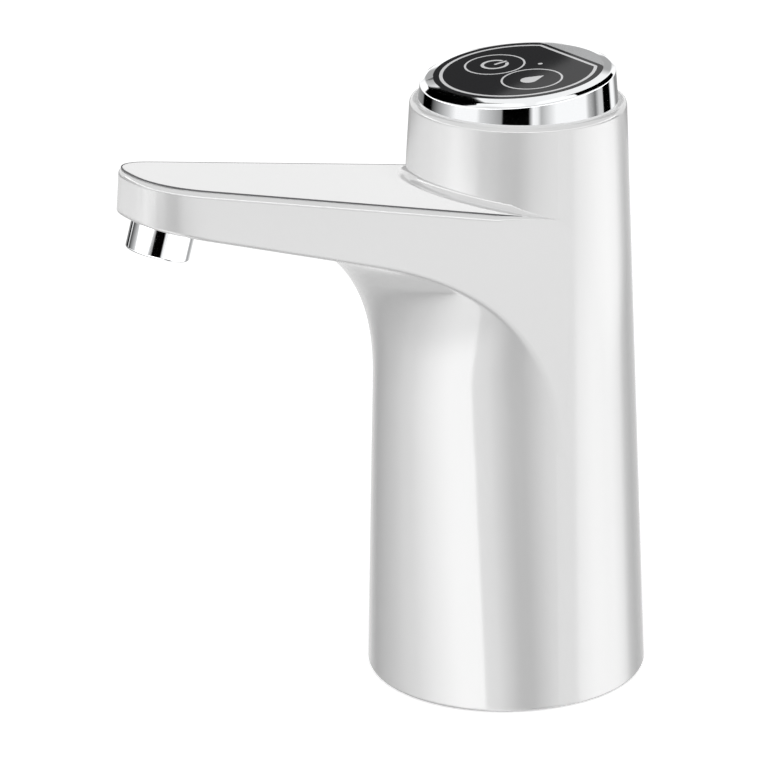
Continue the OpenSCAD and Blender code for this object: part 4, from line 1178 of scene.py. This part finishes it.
class JUGPUMP_OT_studio(Step, bpy.types.Operator):
    """Sets up the floor, the light, the surroundings and the camera"""

    bl_idname = "jugpump.studio"
    bl_label = "Studio"

    def build(self, pump):
        scene = bpy.context.scene
        scene.view_settings.view_transform = "Standard"
        self.camera(scene, pump.studio)
        self.surroundings(scene, pump.studio)
        self.floor(pump.finish)
        self.softboxes(pump.studio)
        self.card(pump.studio)
        self.lamp()

    def aimed(self, name, data, at, aim):
        """Puts a camera or a lamp at a place, turned towards a point."""
        piece = place(name, data)
        piece.location = at
        piece.rotation_euler = (Vector(aim) - Vector(at)).to_track_quat("-Z", "Y").to_euler()
        return piece

    def camera(self, scene, studio):
        """The photograph's camera: focal length in pixels, turned into a lens on a 36 mm sensor."""
        data = bpy.data.cameras.new("camera")
        data.sensor_width = 36
        data.lens = studio.focal_px / studio.image_px * data.sensor_width
        data.clip_end = 20
        scene.camera = self.aimed("camera", data, studio.camera_at, studio.camera_aim)

    def surroundings(self, scene, studio):
        """An even light for diffuse rays and a plain pale one for the camera and for reflections."""
        world = bpy.data.worlds.new("studio")
        scene.world = world
        world.use_nodes = True
        world.node_tree.nodes.clear()
        tree = Tree(world.node_tree)
        rays = tree.node("LightPath", {})
        seen = rays["Is Camera Ray"]
        for kind in ("Is Glossy Ray", "Is Transmission Ray"):
            seen = tree.maths("MAXIMUM", seen, rays[kind])
        even = tree.node("Background", {"Strength": studio.ambient})[0]
        pale = tree.node("Background", {})[0]
        tree.node("OutputWorld", {"Surface": tree.flow("MixShader", seen, even, pale)})

    def floor(self, finish):
        """A pale floor that keeps the shadow; for the camera it glows a little, so that it reads as white."""
        radius, drop, glow = 4.0, 0.2 * MM, 0.5
        turn = around(96)
        points = np.stack([radius * np.cos(turn), radius * np.sin(turn), 0 * turn - drop], -1)
        mesh = bpy.data.meshes.new("floor")
        mesh.from_pydata(points.tolist(), [], [list(range(len(points)))])
        floor = place("floor", mesh)
        material, tree = new_material("floor")
        matt = tree.node("BsdfDiffuse", {"Color": (*finish.floor, 1)})[0]
        lit = tree.flow("AddShader", matt, tree.node("Emission", {"Strength": glow})[0])
        seen = tree.node("LightPath", {})["Is Camera Ray"]
        tree.node("OutputMaterial", {"Surface": tree.flow("MixShader", seen, matt, lit)})
        mesh.materials.append(material)
        floor.visible_glossy = False

    def softboxes(self, studio):
        """A distant globe that only reflections see, with its brightness on a fine grid of angles."""
        radius, step = 6, 0.5
        turn = np.arange(-180, 180, step)[:, None]
        rise = np.arange(step - 90, 90 - step / 2, step)[None, :]
        away = Vector(studio.camera_at) - Vector(studio.camera_aim)
        towards = turn * DEG + math.atan2(away.y, away.x)
        flat = np.cos(rise * DEG)
        points = np.broadcast_arrays(np.cos(towards) * flat, np.sin(towards) * flat, np.sin(rise * DEG))
        self.glowing("softboxes", radius * np.stack(points, -1), studio.reflected * Globe(turn, rise).level())

    def card(self, studio):
        """A dark card behind the pump, which the touch glass mirrors up to the edge of its glare."""
        left, right, height, edge, level = -0.2, 0.03, 0.12, 0.0076, 0.11
        glass_middle = Vector((0, 0, 0.169))
        middle = Vector(studio.card_at)
        away = (middle - glass_middle).normalized()
        side = away.cross(Vector((0, 0, 1))).normalized()
        up = side.cross(away)
        along = side * math.cos(studio.card_turn) - up * math.sin(studio.card_turn)
        across = side * math.sin(studio.card_turn) + up * math.cos(studio.card_turn)
        corners = [[middle + along * a + across * b for b in (edge - height, edge)] for a in (left, right)]
        self.glowing("card", np.array(corners), np.full((2, 2), level))

    def glowing(self, name, points, level):
        """Stage scenery that shows in reflections and nowhere else: a grid of points that closes around its
        first count and glows by its level at each point."""
        stations, rows = level.shape
        mesh = bpy.data.meshes.new(name)
        mesh.from_pydata(points.reshape(-1, 3).tolist(), [], grid_faces(stations, rows, False).tolist())
        stored = mesh.attributes.new("level", "FLOAT", "POINT")
        stored.data.foreach_set("value", level.ravel().astype(np.float32))
        material, tree = new_material(name)
        strength = tree.node("Attribute", {}, attribute_name="level")["Fac"]
        tree.node("OutputMaterial", {"Surface": tree.node("Emission", {"Strength": strength})[0]})
        mesh.materials.append(material)
        piece = place(name, mesh)
        piece.visible_camera = False
        piece.visible_diffuse = False
        piece.visible_shadow = False
        piece.visible_transmission = False

    def lamp(self):
        """One large soft lamp above, for the shadow under the base."""
        data = bpy.data.lights.new("overhead", "AREA")
        data.shape = "DISK"
        data.size = 1.6
        data.energy = 6.0
        lamp = self.aimed("overhead", data, (-0.5, -0.5, 1.5), (0, 0, 0.1))
        lamp.visible_glossy = False


class JUGPUMP_PT_panel(bpy.types.Panel):
    """Lists the steps that build the pump"""

    bl_idname = "JUGPUMP_PT_panel"
    bl_label = "Jug Pump"
    bl_space_type = "VIEW_3D"
    bl_region_type = "UI"
    bl_category = "Jug Pump"

    def draw(self, context):
        for step in STEPS:
            self.layout.operator(step.bl_idname)


STEPS = (JUGPUMP_OT_finishes, JUGPUMP_OT_shell, JUGPUMP_OT_lid, JUGPUMP_OT_head, JUGPUMP_OT_nozzle,
         JUGPUMP_OT_studio)
CLASSES = (JUGPUMP_PG_housing, JUGPUMP_PG_head, JUGPUMP_PG_nozzle, JUGPUMP_PG_finish, JUGPUMP_PG_studio,
           JUGPUMP_PG_settings, *STEPS, JUGPUMP_PT_panel)


def register():
    """Registers the classes and the pump's settings."""
    for cls in CLASSES:
        bpy.utils.register_class(cls)
    bpy.types.Scene.jug_pump = PointerProperty(type=JUGPUMP_PG_settings)


def unregister():
    """Takes the settings and the classes away again."""
    del bpy.types.Scene.jug_pump
    for cls in reversed(CLASSES):
        bpy.utils.unregister_class(cls)


def main():
    """Builds the pump step by step."""
    register()
    for step in STEPS:
        group, name = step.bl_idname.split(".")
        getattr(getattr(bpy.ops, group), name)()


if __name__ == "__main__":
    main()
